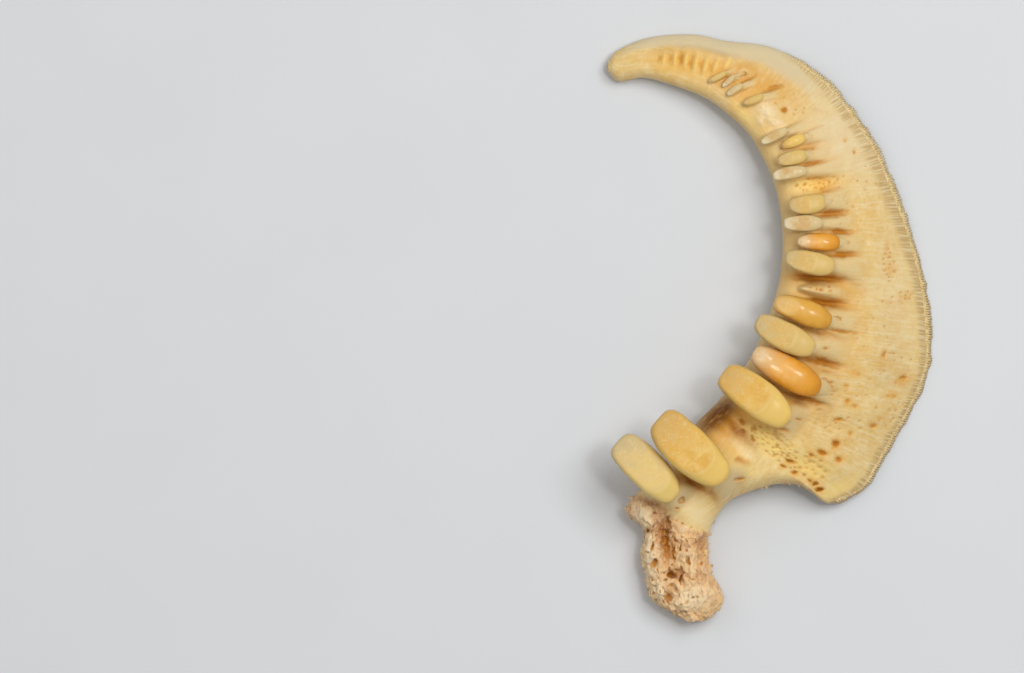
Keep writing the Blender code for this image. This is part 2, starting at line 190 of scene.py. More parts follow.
def add_node(tree: bpy.types.NodeTree, kind: str, inputs: dict | None = None, **settings) -> bpy.types.Node:
    """Adds a node, sets its properties, and fills or links its inputs.

    Args:
        tree: The tree that the node goes in.
        kind: The node's type name.
        inputs: Socket names or numbers, each with a value or an output socket to link.
        settings: The node's own properties.

    Returns:
        The new node.
    """
    node = tree.nodes.new(kind)
    for key, value in settings.items():
        setattr(node, key, value)
    fill_inputs(tree, node, inputs or {})
    return node


def start_material(name: str) -> tuple[bpy.types.Material, bpy.types.Node, bpy.types.NodeSocket]:
    """Starts a material.

    Args:
        name: The material's name.

    Returns:
        The material, its shader, and the socket of the place on the object.
    """
    material = bpy.data.materials.new(name)
    material.use_nodes = True
    tree = material.node_tree
    place = add_node(tree, "ShaderNodeTexCoord").outputs["Object"]
    return material, tree.nodes["Principled BSDF"], place


def lay_coat(
    tree: bpy.types.NodeTree,
    colour: tuple[float, ...] | bpy.types.NodeSocket,
    tone: str,
    pattern: bpy.types.NodeSocket,
    where: bpy.types.NodeSocket | float = 1.0,
    ramp: tuple[float, float, float] = (0.0, 1.0, 1.0),
) -> tuple[bpy.types.NodeSocket, bpy.types.NodeSocket]:
    """Lays one more colour over what is there so far.

    Args:
        tree: The material's tree.
        colour: The colour so far, or its socket.
        tone: Six hex digits of the new colour.
        pattern: Where it shows.
        where: What the pattern is multiplied by.
        ramp: The pattern's value where the coat begins and where it is full, and its strength there.

    Returns:
        How much of the coat shows, and the new colour.
    """
    start, full, strength = ramp
    shown = add_node(
        tree, "ShaderNodeMapRange",
        {"Value": pattern, "From Min": start, "From Max": full, "To Max": strength},
    ).outputs[0]
    shown = add_node(tree, "ShaderNodeMath", {0: shown, 1: where}, operation="MULTIPLY").outputs[0]
    inputs = {"Factor": shown, 6: colour, 7: linear(tone)}
    return shown, add_node(tree, "ShaderNodeMix", inputs, data_type="RGBA").outputs[2]


def mesh_piece(
    name: str,
    points: np.ndarray,
    faces: Iterable[Sequence[int]],
    material: bpy.types.Material,
    attributes: dict[str, np.ndarray],
) -> bpy.types.Object:
    """Makes a smooth-shaded object from points in millimetres.

    Args:
        name: The object's name.
        points: One row of three for each vertex.
        faces: Vertex numbers of each face, its outside seen anticlockwise.
        material: Its finish.
        attributes: Values for each vertex, single numbers or rows of three.

    Returns:
        The object, in the scene.
    """
    mesh = bpy.data.meshes.new(name)
    mesh.from_pydata((points * MILLIMETRE).tolist(), [], faces)
    for key, values in attributes.items():
        if values.ndim == 1:
            mesh.attributes.new(key, "FLOAT", "POINT").data.foreach_set("value", values.astype(np.float32))
        else:
            layer = mesh.attributes.new(key, "FLOAT_VECTOR", "POINT")
            layer.data.foreach_set("vector", values.astype(np.float32).ravel())
    mesh.materials.append(material)
    mesh.shade_smooth()
    mesh.update()
    obj = bpy.data.objects.new(name, mesh)
    bpy.context.scene.collection.objects.link(obj)
    return obj


def ring_faces(rows: int, columns: int) -> list[tuple[int, ...]]:
    """Faces of a closed tube of rings, with a point at each end.

    Args:
        rows: Number of rings.
        columns: Points in each ring. The two end points come after all the rings.

    Returns:
        The faces, quads between rings and triangles at the ends.
    """
    first, last = rows * columns, rows * columns + 1
    faces: list[tuple[int, ...]] = []
    for i in range(rows - 1):
        here, there = i * columns, (i + 1) * columns
        for j in range(columns):
            k = (j + 1) % columns
            faces.append((here + j, here + k, there + k, there + j))
    start = (rows - 1) * columns
    for j in range(columns):
        k = (j + 1) % columns
        faces.append((first, k, j))
        faces.append((last, start + j, start + k))
    return faces


def outward(points: np.ndarray, faces: list[tuple[int, ...]]) -> list[tuple[int, ...]]:
    """Turns all faces round if the closed shape is inside out."""
    corners = np.array([face[:3] for face in faces])
    a, b, c = (points[corners[:, k]] for k in range(3))
    volume = np.einsum("ij,ij->i", a, np.cross(b, c)).sum()
    return faces if volume > 0 else [face[::-1] for face in faces]


@dataclass(frozen=True)
class Station:
    """A line across the bone, from the crescent's inner edge to its outer one.

    bow is how far its middle bends towards the horn, in millimetres.
    """

    inner: tuple[float, float]
    outer: tuple[float, float]
    bow: float = 0.0


# From the tip of the horn, round the blade and its lower lobe, through the neck and down the foot.
STATIONS = (
    Station((-14.75, 23.4), (-14.75, 24.6)),
    Station((-13.8, 22.6), (-13.9, 25.5)),
    Station((-11.4, 22.9), (-11.2, 26.6)),
    Station((-8.0, 21.9), (-7.2, 26.9)),
    Station((-5.7, 20.9), (-4.1, 26.3)),
    Station((-3.6, 19.3), (0.1, 25.7)),
    Station((-2.0, 17.7), (3.9, 23.7)),
    Station((-0.7, 15.5), (7.0, 20.5)),
    Station((0.3, 13.2), (9.8, 16.4)),
    Station((0.9, 10.5), (12.0, 11.2)),
    Station((1.1, 7.6), (13.4, 7.1)),
    Station((0.8, 4.5), (14.3, 3.2)),
    Station((-0.1, 1.3), (14.7, -1.1)),
    Station((-1.5, -2.1), (14.4, -4.1)),
    Station((-2.7, -4.0), (13.1, -7.2)),
    Station((-3.6, -5.2), (11.5, -10.0)),
    Station((-4.3, -6.1), (10.0, -12.6)),
    Station((-4.8, -6.7), (8.7, -14.7), 0.2),
    Station((-5.2, -7.1), (6.7, -15.8), 0.7),
    Station((-5.6, -7.5), (5.2, -16.1), 1.0),
    Station((-6.0, -7.9), (3.9, -15.2), 0.9),
    Station((-6.4, -8.3), (2.6, -14.4), 0.4),
    Station((-7.1, -9.2), (0.6, -14.3)),
    Station((-8.0, -10.6), (-1.9, -15.0)),
    Station((-9.1, -12.4), (-3.8, -15.9)),
    Station((-10.6, -13.8), (-5.0, -17.4)),
    Station((-12.3, -15.2), (-5.5, -18.5)),
    Station((-13.2, -16.8), (-5.7, -19.5)),
    Station((-11.6, -18.5), (-5.7, -20.3)),
    Station((-11.9, -20.6), (-5.6, -21.5)),
    Station((-11.4, -22.8), (-5.2, -22.9)),
    Station((-10.9, -24.8), (-4.3, -24.7)),
    Station((-9.1, -26.0), (-4.9, -26.1)),
    Station((-7.4, -26.9), (-6.1, -26.8)),
)
# Heights and thicknesses at a few stations: (station, millimetres).
SHELF_HEIGHT = (
    (0, 1.95), (1, 2.55), (2, 3.1), (5, 4.5), (9, 5.3), (13, 5.9), (19, 6.0), (24, 5.5), (27, 4.6), (31, 4.0),
    (33, 3.1),
)
RIM_HEIGHT = (
    (0, 1.0), (1, 1.1), (3, 2.3), (6, 2.1), (9, 0.6), (11, 0.0), (13, 0.0), (16, 0.7), (18, 1.3), (19, 1.9),
    (20, 2.8), (21.5, 3.5), (24, 3.3), (27, 2.4), (33, 1.5),
)
SHAFT_THICKNESS = (
    (0, 1.5), (0.4, 2.6), (1, 3.1), (2, 3.1), (3, 3.0), (7, 3.5), (12, 4.1), (18, 4.3), (24, 4.6), (28, 4.7),
    (31, 4.6), (33, 2.6),
)
EDGE_THICKNESS = (
    (0, 1.3), (0.4, 2.2), (1, 2.5), (3, 1.9), (6, 1.2), (9, 1.1), (12, 1.2), (16, 0.9), (19, 1.3), (20, 2.1),
    (21.5, 3.2), (24, 3.8), (27, 4.2), (31, 3.8), (33, 2.2),
)
TROUGH_DEPTH = ((0, 0.0), (1, 0.1), (3, 0.6), (5, 0.6), (8, 0.1), (10, 0.0), (33, 0.0))
BLADE_FULLNESS = 3.0


@dataclass(frozen=True)
class Oval:
    """An oval place on the bone's upper surface, seen from above, turned by angle from +X.

    long and short are how far it reaches each way from its middle, before it fades out.
    """

    x: float
    y: float
    long: float
    short: float
    angle: float

    def share(self, points: np.ndarray, power: float = 3.0) -> np.ndarray:
        """How far each point is into the oval: 1 at its middle, falling to 0 outside it."""
        turn = math.radians(self.angle)
        offset = points[..., :2] - (self.x, self.y)
        along = offset @ (math.cos(turn), math.sin(turn)) / self.long
        aside = offset @ (-math.sin(turn), math.cos(turn)) / self.short
        return np.exp(-((along**2 + aside**2) ** (power / 2)))


@dataclass(frozen=True)
class Form(Oval):
    """A low oval mound on the upper side, or a hollow where its height is below zero."""

    height: float

    def rise(self, plan: np.ndarray) -> np.ndarray:
        """How far it raises each point, seen from above."""
        return self.height * self.share(plan, 2.0)


# The foot's furrow and lips, the swells and hollows of the blade, and those of the horn.
FORMS = (
    Form(-9.7, -19.2, 2.7, 0.75, 96, -0.85),
    Form(-11.5, -17.4, 1.3, 0.8, 110, 0.45),
    Form(-11.0, -21.2, 1.7, 0.6, 96, 0.45),
    Form(-7.5, -20.6, 1.8, 0.8, 96, 0.45),
    Form(-8.8, -22.7, 0.8, 0.6, 20, -0.55),
    Form(-7.1, -23.0, 0.8, 0.7, 60, 0.35),
    Form(-10.5, -23.8, 1.0, 0.5, 115, 0.40),
    Form(-9.3, -24.4, 1.0, 0.5, 80, -0.50),
    Form(-6.2, -24.6, 1.1, 0.8, 30, 0.40),
    Form(-8.2, -25.4, 0.9, 0.6, 0, 0.30),
    Form(-8.3, -16.6, 1.1, 0.9, -45, 0.30),
    Form(-3.4, -12.3, 2.2, 0.9, -45, 0.30),
    Form(-4.5, -8.7, 2.4, 0.8, -45, -0.60),
    Form(0.4, -10.4, 2.6, 0.9, -35, 0.35),
    Form(3.6, -12.6, 1.9, 0.8, -25, -0.25),
    Form(6.3, -12.6, 1.5, 1.5, 20, 0.25),
    Form(5.4, -8.8, 1.8, 1.0, -15, -0.25),
    Form(8.7, -7.8, 1.6, 1.2, 0, 0.20),
    Form(3.1, -6.6, 1.8, 0.6, -20, -0.40),
    Form(4.7, -3.0, 1.9, 0.6, -14, -0.50),
    Form(4.9, 2.3, 1.9, 0.5, -5, -0.45),
    Form(4.9, 4.6, 1.9, 0.5, -3, -0.45),
    Form(6.6, 8.7, 1.3, 0.5, -5, -0.25),
    Form(5.7, 10.4, 1.4, 0.5, 5, -0.25),
    Form(4.4, 13.1, 1.9, 0.7, 10, -0.40),
    Form(10.7, -5.4, 1.4, 1.2, 0, -0.20),
    Form(9.4, -2.2, 1.9, 1.2, 0, 0.20),
    Form(8.8, 3.2, 1.8, 1.2, 0, -0.20),
    Form(9.6, 8.0, 1.2, 1.9, 10, 0.20),
    Form(7.2, 13.6, 1.4, 1.4, -30, -0.18),
    Form(4.3, 18.6, 1.6, 1.2, -45, 0.18),
    Form(-0.5, 20.2, 1.4, 0.9, -40, 0.40),
    Form(-2.6, 23.3, 1.2, 0.6, 25, -0.30),
    Form(-4.2, 25.4, 1.6, 0.5, -15, 0.20),
    Form(-10.6, 25.0, 1.2, 0.8, 10, -0.15),
)


@dataclass(frozen=True)
class Chart:
    """The bone's surface: a place along it, in stations, and a share across it give a point."""

    fullness: float = BLADE_FULLNESS
    thinning: tuple[float, float] = (0.1, 0.5)

    def surface(self, stations: np.ndarray, across: np.ndarray) -> tuple[np.ndarray, np.ndarray]:
        """Works out the upper and lower surface.

        Args:
            stations: Places along the bone.
            across: Shares of the width, 0 at the inner edge and 1 at the outer one.

        Returns:
            Two arrays of points, a row for each station.
        """
        inner = through_points([s.inner for s in STATIONS], stations)
        outer = through_points([s.outer for s in STATIONS], stations)
        bow = through_points([[s.bow] for s in STATIONS], stations)
        span = outer - inner
        width = np.linalg.norm(span, axis=1)[:, None]
        sideways = np.stack([-span[:, 1], span[:, 0]], axis=1) / width
        share = np.asarray(across)[None, :]
        arc = (4 * share * (1 - share))[..., None]
        plan = inner[:, None] + span[:, None] * share[..., None] + (sideways * bow)[:, None] * arc
        shelf, rim, shaft, edge, trough = (
            smooth_curve(knots, stations)[:, None]
            for knots in (SHELF_HEIGHT, RIM_HEIGHT, SHAFT_THICKNESS, EDGE_THICKNESS, TROUGH_DEPTH)
        )
        rim_top = rim + edge / 2
        top = rim_top + (shelf - rim_top) * (1 - share**self.fullness)
        top = top - trough * np.sin(math.pi * share) ** 2
        thickness = edge + (shaft - edge) * (1 - smoothstep(*self.thinning, share))
        inner_round = np.minimum(shaft / 2, width * 0.45)
        outer_round = np.minimum(edge * 0.6, width * 0.45)
        distance = share * width
        into = np.clip(1 - distance / inner_round, 0, 1)
        out_of = np.clip(1 - (width - distance) / outer_round, 0, 1)
        fullness = np.sqrt(np.clip(1 - into**2, 0, 1)) * np.sqrt(np.clip(1 - out_of**2, 0, 1))
        middle = top - thickness / 2
        bulge = thickness / 2 * fullness
        relief = sum(form.rise(plan) for form in FORMS) * fullness
        return (
            np.concatenate([plan, (middle + bulge + relief)[..., None]], axis=2),
            np.concatenate([plan, (middle - bulge)[..., None]], axis=2),
        )

    def even_stations(self, count: int) -> np.ndarray:
        """Places along the bone that are evenly spaced in millimetres, and closer on the rough foot."""
        dense = np.linspace(0, len(STATIONS) - 1, 2000)
        top, _ = self.surface(dense, np.array([0.25, 0.9]))
        steps = np.linalg.norm(np.diff(top, axis=0), axis=2).mean(axis=1)
        steps *= 1 + 0.7 * smoothstep(24, 26, dense[1:])
        length = np.concatenate([[0], np.cumsum(steps)])
        return np.interp(np.linspace(0, length[-1], count), length, dense)


class GroundFinder:
    """Finds the height of the bone's upper surface under a place seen from above."""

    def __init__(self, chart: Chart, rows: int = 500, columns: int = 110) -> None:
        """Samples the surface once.

        Args:
            chart: The bone's surface.
            rows: Samples along the bone.
            columns: Samples across it.
        """
        top, _ = chart.surface(np.linspace(0, len(STATIONS) - 1, rows), np.linspace(0, 1, columns))
        points = top.reshape(-1, 3)
        self.heights = points[:, 2]
        self.tree = KDTree(len(points))
        for number, (x, y, _) in enumerate(points):
            self.tree.insert((x, y, 0), number)
        self.tree.balance()

    def height(self, x: float, y: float) -> float:
        """Reads the height from the four nearest samples, the nearer ones counting more."""
        total = weight_sum = 0.0
        for _, number, distance in self.tree.find_n((x, y, 0), 4):
            weight = 1 / (distance * distance + 1e-4)
            total += weight * self.heights[number]
            weight_sum += weight
        return total / weight_sum


class Shade(Enum):
    """The look of a tooth's enameloid."""

    CREAM = "cream"
    HONEY = "honey"
    GOLD = "gold"
    AMBER = "amber"
    PEARL = "pearl"
    STRAW = "straw"


@dataclass(frozen=True)
class Tooth:
    """One grinding tooth, its long axis turned by angle from +X, pointing outwards.

    Sizes are in millimetres. root_start is where the root begins, as a share of the crown's length
    outwards from its middle, tail is how far the root runs out past the crown, and wear is how far
    out the worn facet reaches, from -1 at the inner end to 1 at the outer one. inner_end and
    outer_end are how pointed the ends are: 0.4 is square and 0.8 is pointed.
    """

    name: str
    x: float
    y: float
    length: float
    width: float
    angle: float
    tail: float
    lift: float = 0.0
    root_start: float = -0.33
    inner_width: float = 0.85
    shade: Shade = Shade.CREAM
    wear: float = 0.3
    inner_end: float = 0.50
    outer_end: float = 0.68

    @property
    def number(self) -> int:
        """The tooth's place in the row, from the foot to the horn."""
        return int(self.name[-2:])

    @property
    def turn(self) -> float:
        """The angle in radians."""
        return math.radians(self.angle)

    @property
    def axis(self) -> np.ndarray:
        """The way that the crown points, seen from above."""
        return np.array((math.cos(self.turn), math.sin(self.turn)))

    @property
    def middle(self) -> np.ndarray:
        """The crown's middle, seen from above."""
        return np.array((self.x, self.y))

    @property
    def depth(self) -> float:
        """The crown's depth from top to underside."""
        return 0.2 + 0.72 * self.width

    @property
    def root_ends(self) -> tuple[np.ndarray, np.ndarray, np.ndarray]:
        """Where the root begins, where the crown ends over it, and where its tail dies out."""
        tail_turn = self.turn * 0.6
        tail = np.array((math.cos(tail_turn), math.sin(tail_turn))) * self.tail
        start = self.middle + self.axis * self.root_start * self.length
        crown_end = self.middle + self.axis * self.length / 2
        return start, crown_end, crown_end + tail

    def base_height(self, ground: GroundFinder) -> float:
        """Height of the bone under the outer part of the crown."""
        return ground.height(*(self.middle + self.axis * self.length * 0.3))

    def level(self, ground: GroundFinder) -> float:
        """Height of the crown's middle over the floor."""
        return self.base_height(ground) + 0.35 + 1.2 * self.width + self.lift - self.depth / 2

    def gap(self, ground: GroundFinder) -> float:
        """Height of the crown's underside over the bone."""
        return self.level(ground) - 0.38 * self.depth - self.base_height(ground)


TEETH = (
    Tooth("tooth_01", -11.45, -12.95, 7.4, 3.3, -45, 1.0, 0.2, 0.16, 1.08, Shade.STRAW, 0.75, 0.44, 0.74),
    Tooth("tooth_02", -7.35, -11.05, 8.3, 3.8, -43, 1.4, 0.3, 0.02, 1.10, Shade.HONEY, 0.60, 0.45, 0.70),
    Tooth("tooth_03", -1.55, -6.35, 7.5, 3.4, -37, 1.2, 0.3, -0.16, 0.98, Shade.HONEY, 0.35, 0.46, 0.74),
    Tooth("tooth_04", 1.3, -3.95, 7.0, 3.0, -30, 1.6, -0.4, -0.28, 0.85, Shade.AMBER, -0.55, 0.52, 0.80),
    Tooth("tooth_05", 1.15, -0.7, 5.9, 2.6, -27, 3.0, 0.4, -0.30, 0.95, Shade.CREAM, 0.4),
    Tooth("tooth_06", 2.75, 1.4, 5.6, 2.45, -20, 2.4, -0.1, -0.33, 0.85, Shade.GOLD, -0.1, 0.54, 0.74),
    Tooth("tooth_07", 3.45, 6.0, 4.6, 2.2, -12, 3.2, 0.0, -0.33, 0.85, Shade.CREAM, 0.3),
    Tooth("tooth_08", 4.25, 7.8, 3.9, 1.85, -2, 2.4, -0.1, -0.33, 0.75, Shade.AMBER, -0.45, 0.60),
    Tooth("tooth_09", 2.85, 9.5, 3.5, 1.5, 1, 3.1, 0.3, -0.33, 0.85, Shade.PEARL, 0.5, 0.42),
    Tooth("tooth_10", 3.2, 11.3, 3.35, 1.9, 7, 2.3, 0.0, -0.33, 0.85, Shade.CREAM, 0.2, 0.62),
    Tooth("tooth_11", 1.65, 14.05, 3.1, 1.25, 11, 3.5, 0.2, -0.33, 0.85, Shade.PEARL, 0.3, 0.44),
    Tooth("tooth_12", 1.85, 15.5, 2.7, 1.4, 13, 2.2, 0.0, -0.33, 0.85, Shade.CREAM, 0.1, 0.66),
    Tooth("tooth_13", 2.0, 17.0, 2.35, 1.15, 22, 2.5, -0.1, -0.33, 0.75, Shade.HONEY, -0.4, 0.66),
    Tooth("tooth_14", 0.3, 17.45, 2.6, 0.95, 26, 2.2, 0.4, -0.33, 0.85, Shade.PEARL, 0.5, 0.56),
    Tooth("tooth_15", -1.65, 20.8, 2.0, 0.8, 23, 1.6, 0.0, -0.33, 0.85, Shade.CREAM, -0.3, 0.66),
    Tooth("tooth_16", -3.3, 21.75, 1.7, 0.7, 33, 1.4, 0.0, -0.33, 0.85, Shade.PEARL, -0.2, 0.62),
    Tooth("tooth_17", -3.85, 22.55, 1.5, 0.6, 42, 1.2, 0.0, -0.33, 0.85, Shade.PEARL, -0.2, 0.62),
    Tooth("tooth_18", -4.85, 22.95, 1.9, 0.6, 28, 1.1, 0.0, -0.33, 0.85, Shade.CREAM, -0.3, 0.66),
)


@dataclass(frozen=True)
class EnamelFinish:
    """Tooth enameloid, laid down over dentine and polished by use: a deep gloss, dulled where it is worn.

    crest is how strongly the facet's colour shows along the top, gloss and worn_roughness are the
    roughness of the dome and of the facet, and glow is the share of light that scatters inside.
    """

    dome: str
    facet: str
    inner_end: str
    # Colour low down the sides: the enameloid's deeper tone with painted shade.
    flank_and_shade: str
    crest: float
    gloss: float
    worn_roughness: float
    glow: float
    frost: str = "F2E2B4"
    # Pale line along the facet's border: the worn edge with a painted glint.
    facet_edge_glint: str = "F4E4B0"
    refraction: float = 1.6
    specular: float = 0.36
    scatter: tuple[float, float, float] = (1.0, 0.7, 0.35)
    scatter_mm: float = 0.7


ENAMEL = {
    Shade.CREAM: EnamelFinish("D8B86E", "D6AC5C", "C8AE78", "CCA054", 0.3, 0.34, 0.44, 0.12),
    Shade.HONEY: EnamelFinish("E6C26C", "DCA842", "CDA45C", "C4923F", 0.3, 0.26, 0.40, 0.12),
    Shade.GOLD: EnamelFinish("DAA342", "E3B35A", "D6B06C", "A06614", 0.6, 0.22, 0.32, 0.12),
    Shade.AMBER: EnamelFinish("E09C34", "F6C87E", "DCC094", "A66210", 1.0, 0.20, 0.28, 0.12),
    Shade.PEARL: EnamelFinish("D4BC88", "CCA362", "DCCEA8", "CCB07A", 0.3, 0.26, 0.38, 0.15),
    Shade.STRAW: EnamelFinish("E2C474", "E1C07A", "C6B080", "C09450", 0.3, 0.34, 0.44, 0.12),
}


class EnamelMaterial:
    """Builds the material of one enameloid finish."""

    def __init__(self, name: str, finish: EnamelFinish) -> None:
        """Keeps the finish and builds its material, under the name given."""
        self.name = name
        self.finish = finish
        self.material = self.build()

    def build(self) -> bpy.types.Material:
        """Layers flank (with painted shade), dome, facet and inner end by where each point is on the crown.

        Returns:
            The material.
        """
        finish = self.finish
        material, shader, place = start_material(self.name)
        tree = material.node_tree
        along, height, worn = (
            add_node(tree, "ShaderNodeAttribute", attribute_name=name).outputs["Fac"]
            for name in ("along", "height", "worn")
        )
        cloud, speck, scratch = (
            add_node(
                tree, "ShaderNodeTexNoise",
                {"Vector": place, "Scale": per_metre(size), "Detail": 4.0, "Roughness": rough,
                 "Distortion": twist},
            ).outputs["Fac"]
            for size, rough, twist in ((1.1, 0.6, 0.3), (0.2, 0.7, 0.0), (0.5, 0.75, 1.8))
        )
        wander = add_node(
            tree, "ShaderNodeMath", {0: cloud, 1: 0.4, 2: -0.2}, operation="MULTIPLY_ADD"
        ).outputs[0]
        high = add_node(tree, "ShaderNodeMath", {0: height, 1: wander}, operation="ADD").outputs[0]
        inland = add_node(
            tree, "ShaderNodeMapRange", {"Value": along, "From Min": 0.96, "From Max": 0.55}
        ).outputs[0]
        cloudy = add_node(
            tree, "ShaderNodeMapRange",
            {"Value": cloud, "From Min": 0.36, "From Max": 0.62, "To Min": 0.2, "To Max": 1.0},
        ).outputs[0]
        inward = add_node(
            tree, "ShaderNodeMath", {0: wander, 1: 1.8, 2: along}, operation="MULTIPLY_ADD"
        ).outputs[0]
        unworn = add_node(tree, "ShaderNodeMath", {0: 1.0, 1: worn}, operation="SUBTRACT").outputs[0]
        border = add_node(tree, "ShaderNodeMath", {0: worn, 1: unworn}, operation="MULTIPLY").outputs[0]

        # The crown's colour runs from the darker sides up to the dome's tone on top; the darker sides are the
        # enameloid's deeper tone with painted shade.
        dome, colour = lay_coat(tree, linear(finish.flank_and_shade), finish.dome, high, ramp=(0.34, 0.80, 1.0))
        for tone, pattern, where, ramp in (
            (finish.facet, high, inland, (0.80, 1.12, finish.crest)),
            (finish.facet, cloudy, worn, (0.0, 1.0, 1.0)),
            (finish.inner_end, inward, dome, (0.42, 0.04, 0.9)),
            (finish.frost, scratch, worn, (0.52, 0.72, 0.36)),
            # A pale line where the facet meets the dome: the worn edge with a painted glint.
            (finish.facet_edge_glint, along, border, (0.45, 0.6, 0.6)),
        ):
            _, colour = lay_coat(tree, colour, tone, pattern, where, ramp)

        roughness = add_node(
            tree, "ShaderNodeMapRange",
            {"Value": worn, "To Min": finish.gloss, "To Max": finish.worn_roughness},
        ).outputs[0]
        relief = add_node(tree, "ShaderNodeMath", {0: speck, 1: worn}, operation="MULTIPLY").outputs[0]
        normal = add_node(
            tree, "ShaderNodeBump", {"Height": relief, "Strength": 0.4, "Distance": 0.04 * MILLIMETRE}
        ).outputs[0]
        look = {
            "Base Color": colour,
            "Roughness": roughness,
            "Normal": normal,
            "IOR": finish.refraction,
            "Specular IOR Level": finish.specular,
            "Subsurface Weight": finish.glow,
            "Subsurface Radius": finish.scatter,
            "Subsurface Scale": finish.scatter_mm * MILLIMETRE,
        }
        fill_inputs(tree, shader, look)
        return material


@dataclass(frozen=True)
class Layer:
    """One colour laid over the bone where a vertex mask says so.

    patch is the size in millimetres of the noise that breaks it up, and ragged is how far it does so.
    """

    mask: str
    colour: str
    strength: float
    patch: float
    ragged: float


@dataclass(frozen=True)
class BoneFinish:
    """Dry, degreased fish bone: a matt lamellar surface with fibres, stained by old oil near the teeth."""

    name: str = "dry_lamellar_bone"
    ground: str = "E4C684"
    mottle: str = "DAAC58"
    streak: str = "F1E2BC"
    layers: tuple[Layer, ...] = (
        Layer("shaft", "DEBA78", 0.8, 1.6, 0.5),
        Layer("horn_rim", "D3C4A0", 0.85, 1.2, 0.3),
        # Clear yellow bone; in the first bright zone it is also painted light over the third tooth's shadow.
        Layer("gold", "FFDF84", 0.95, 1.2, 0.3),
        Layer("stain", "DA9C36", 0.95, 0.8, 0.8),
        Layer("band", "CBAC72", 0.9, 0.5, 0.5),
        Layer("root_tone", "DEC48E", 0.9, 0.6, 0.4),
        Layer("foot", "EFC288", 1.0, 1.5, 0.3),
        Layer("furrow", "A5622A", 1.0, 0.6, 0.6),
        Layer("chalk", "F6E2BA", 1.0, 0.5, 0.5),
        # Deep brown: bone stain with painted shade, on the wall between the second and third tooth, in the
        # slots and deeper holes, and at the roots' bases.
        Layer("brown_and_shade", "6A3B05", 0.97, 0.6, 0.3),
        Layer("pit", "BC7A14", 0.95, 0.4, 0.2),
    )
    pore: str = "C48A2C"
    refraction: float = 1.5
    glow: float = 0.06
    scatter: tuple[float, float, float] = (1.0, 0.7, 0.4)
    scatter_mm: float = 0.4


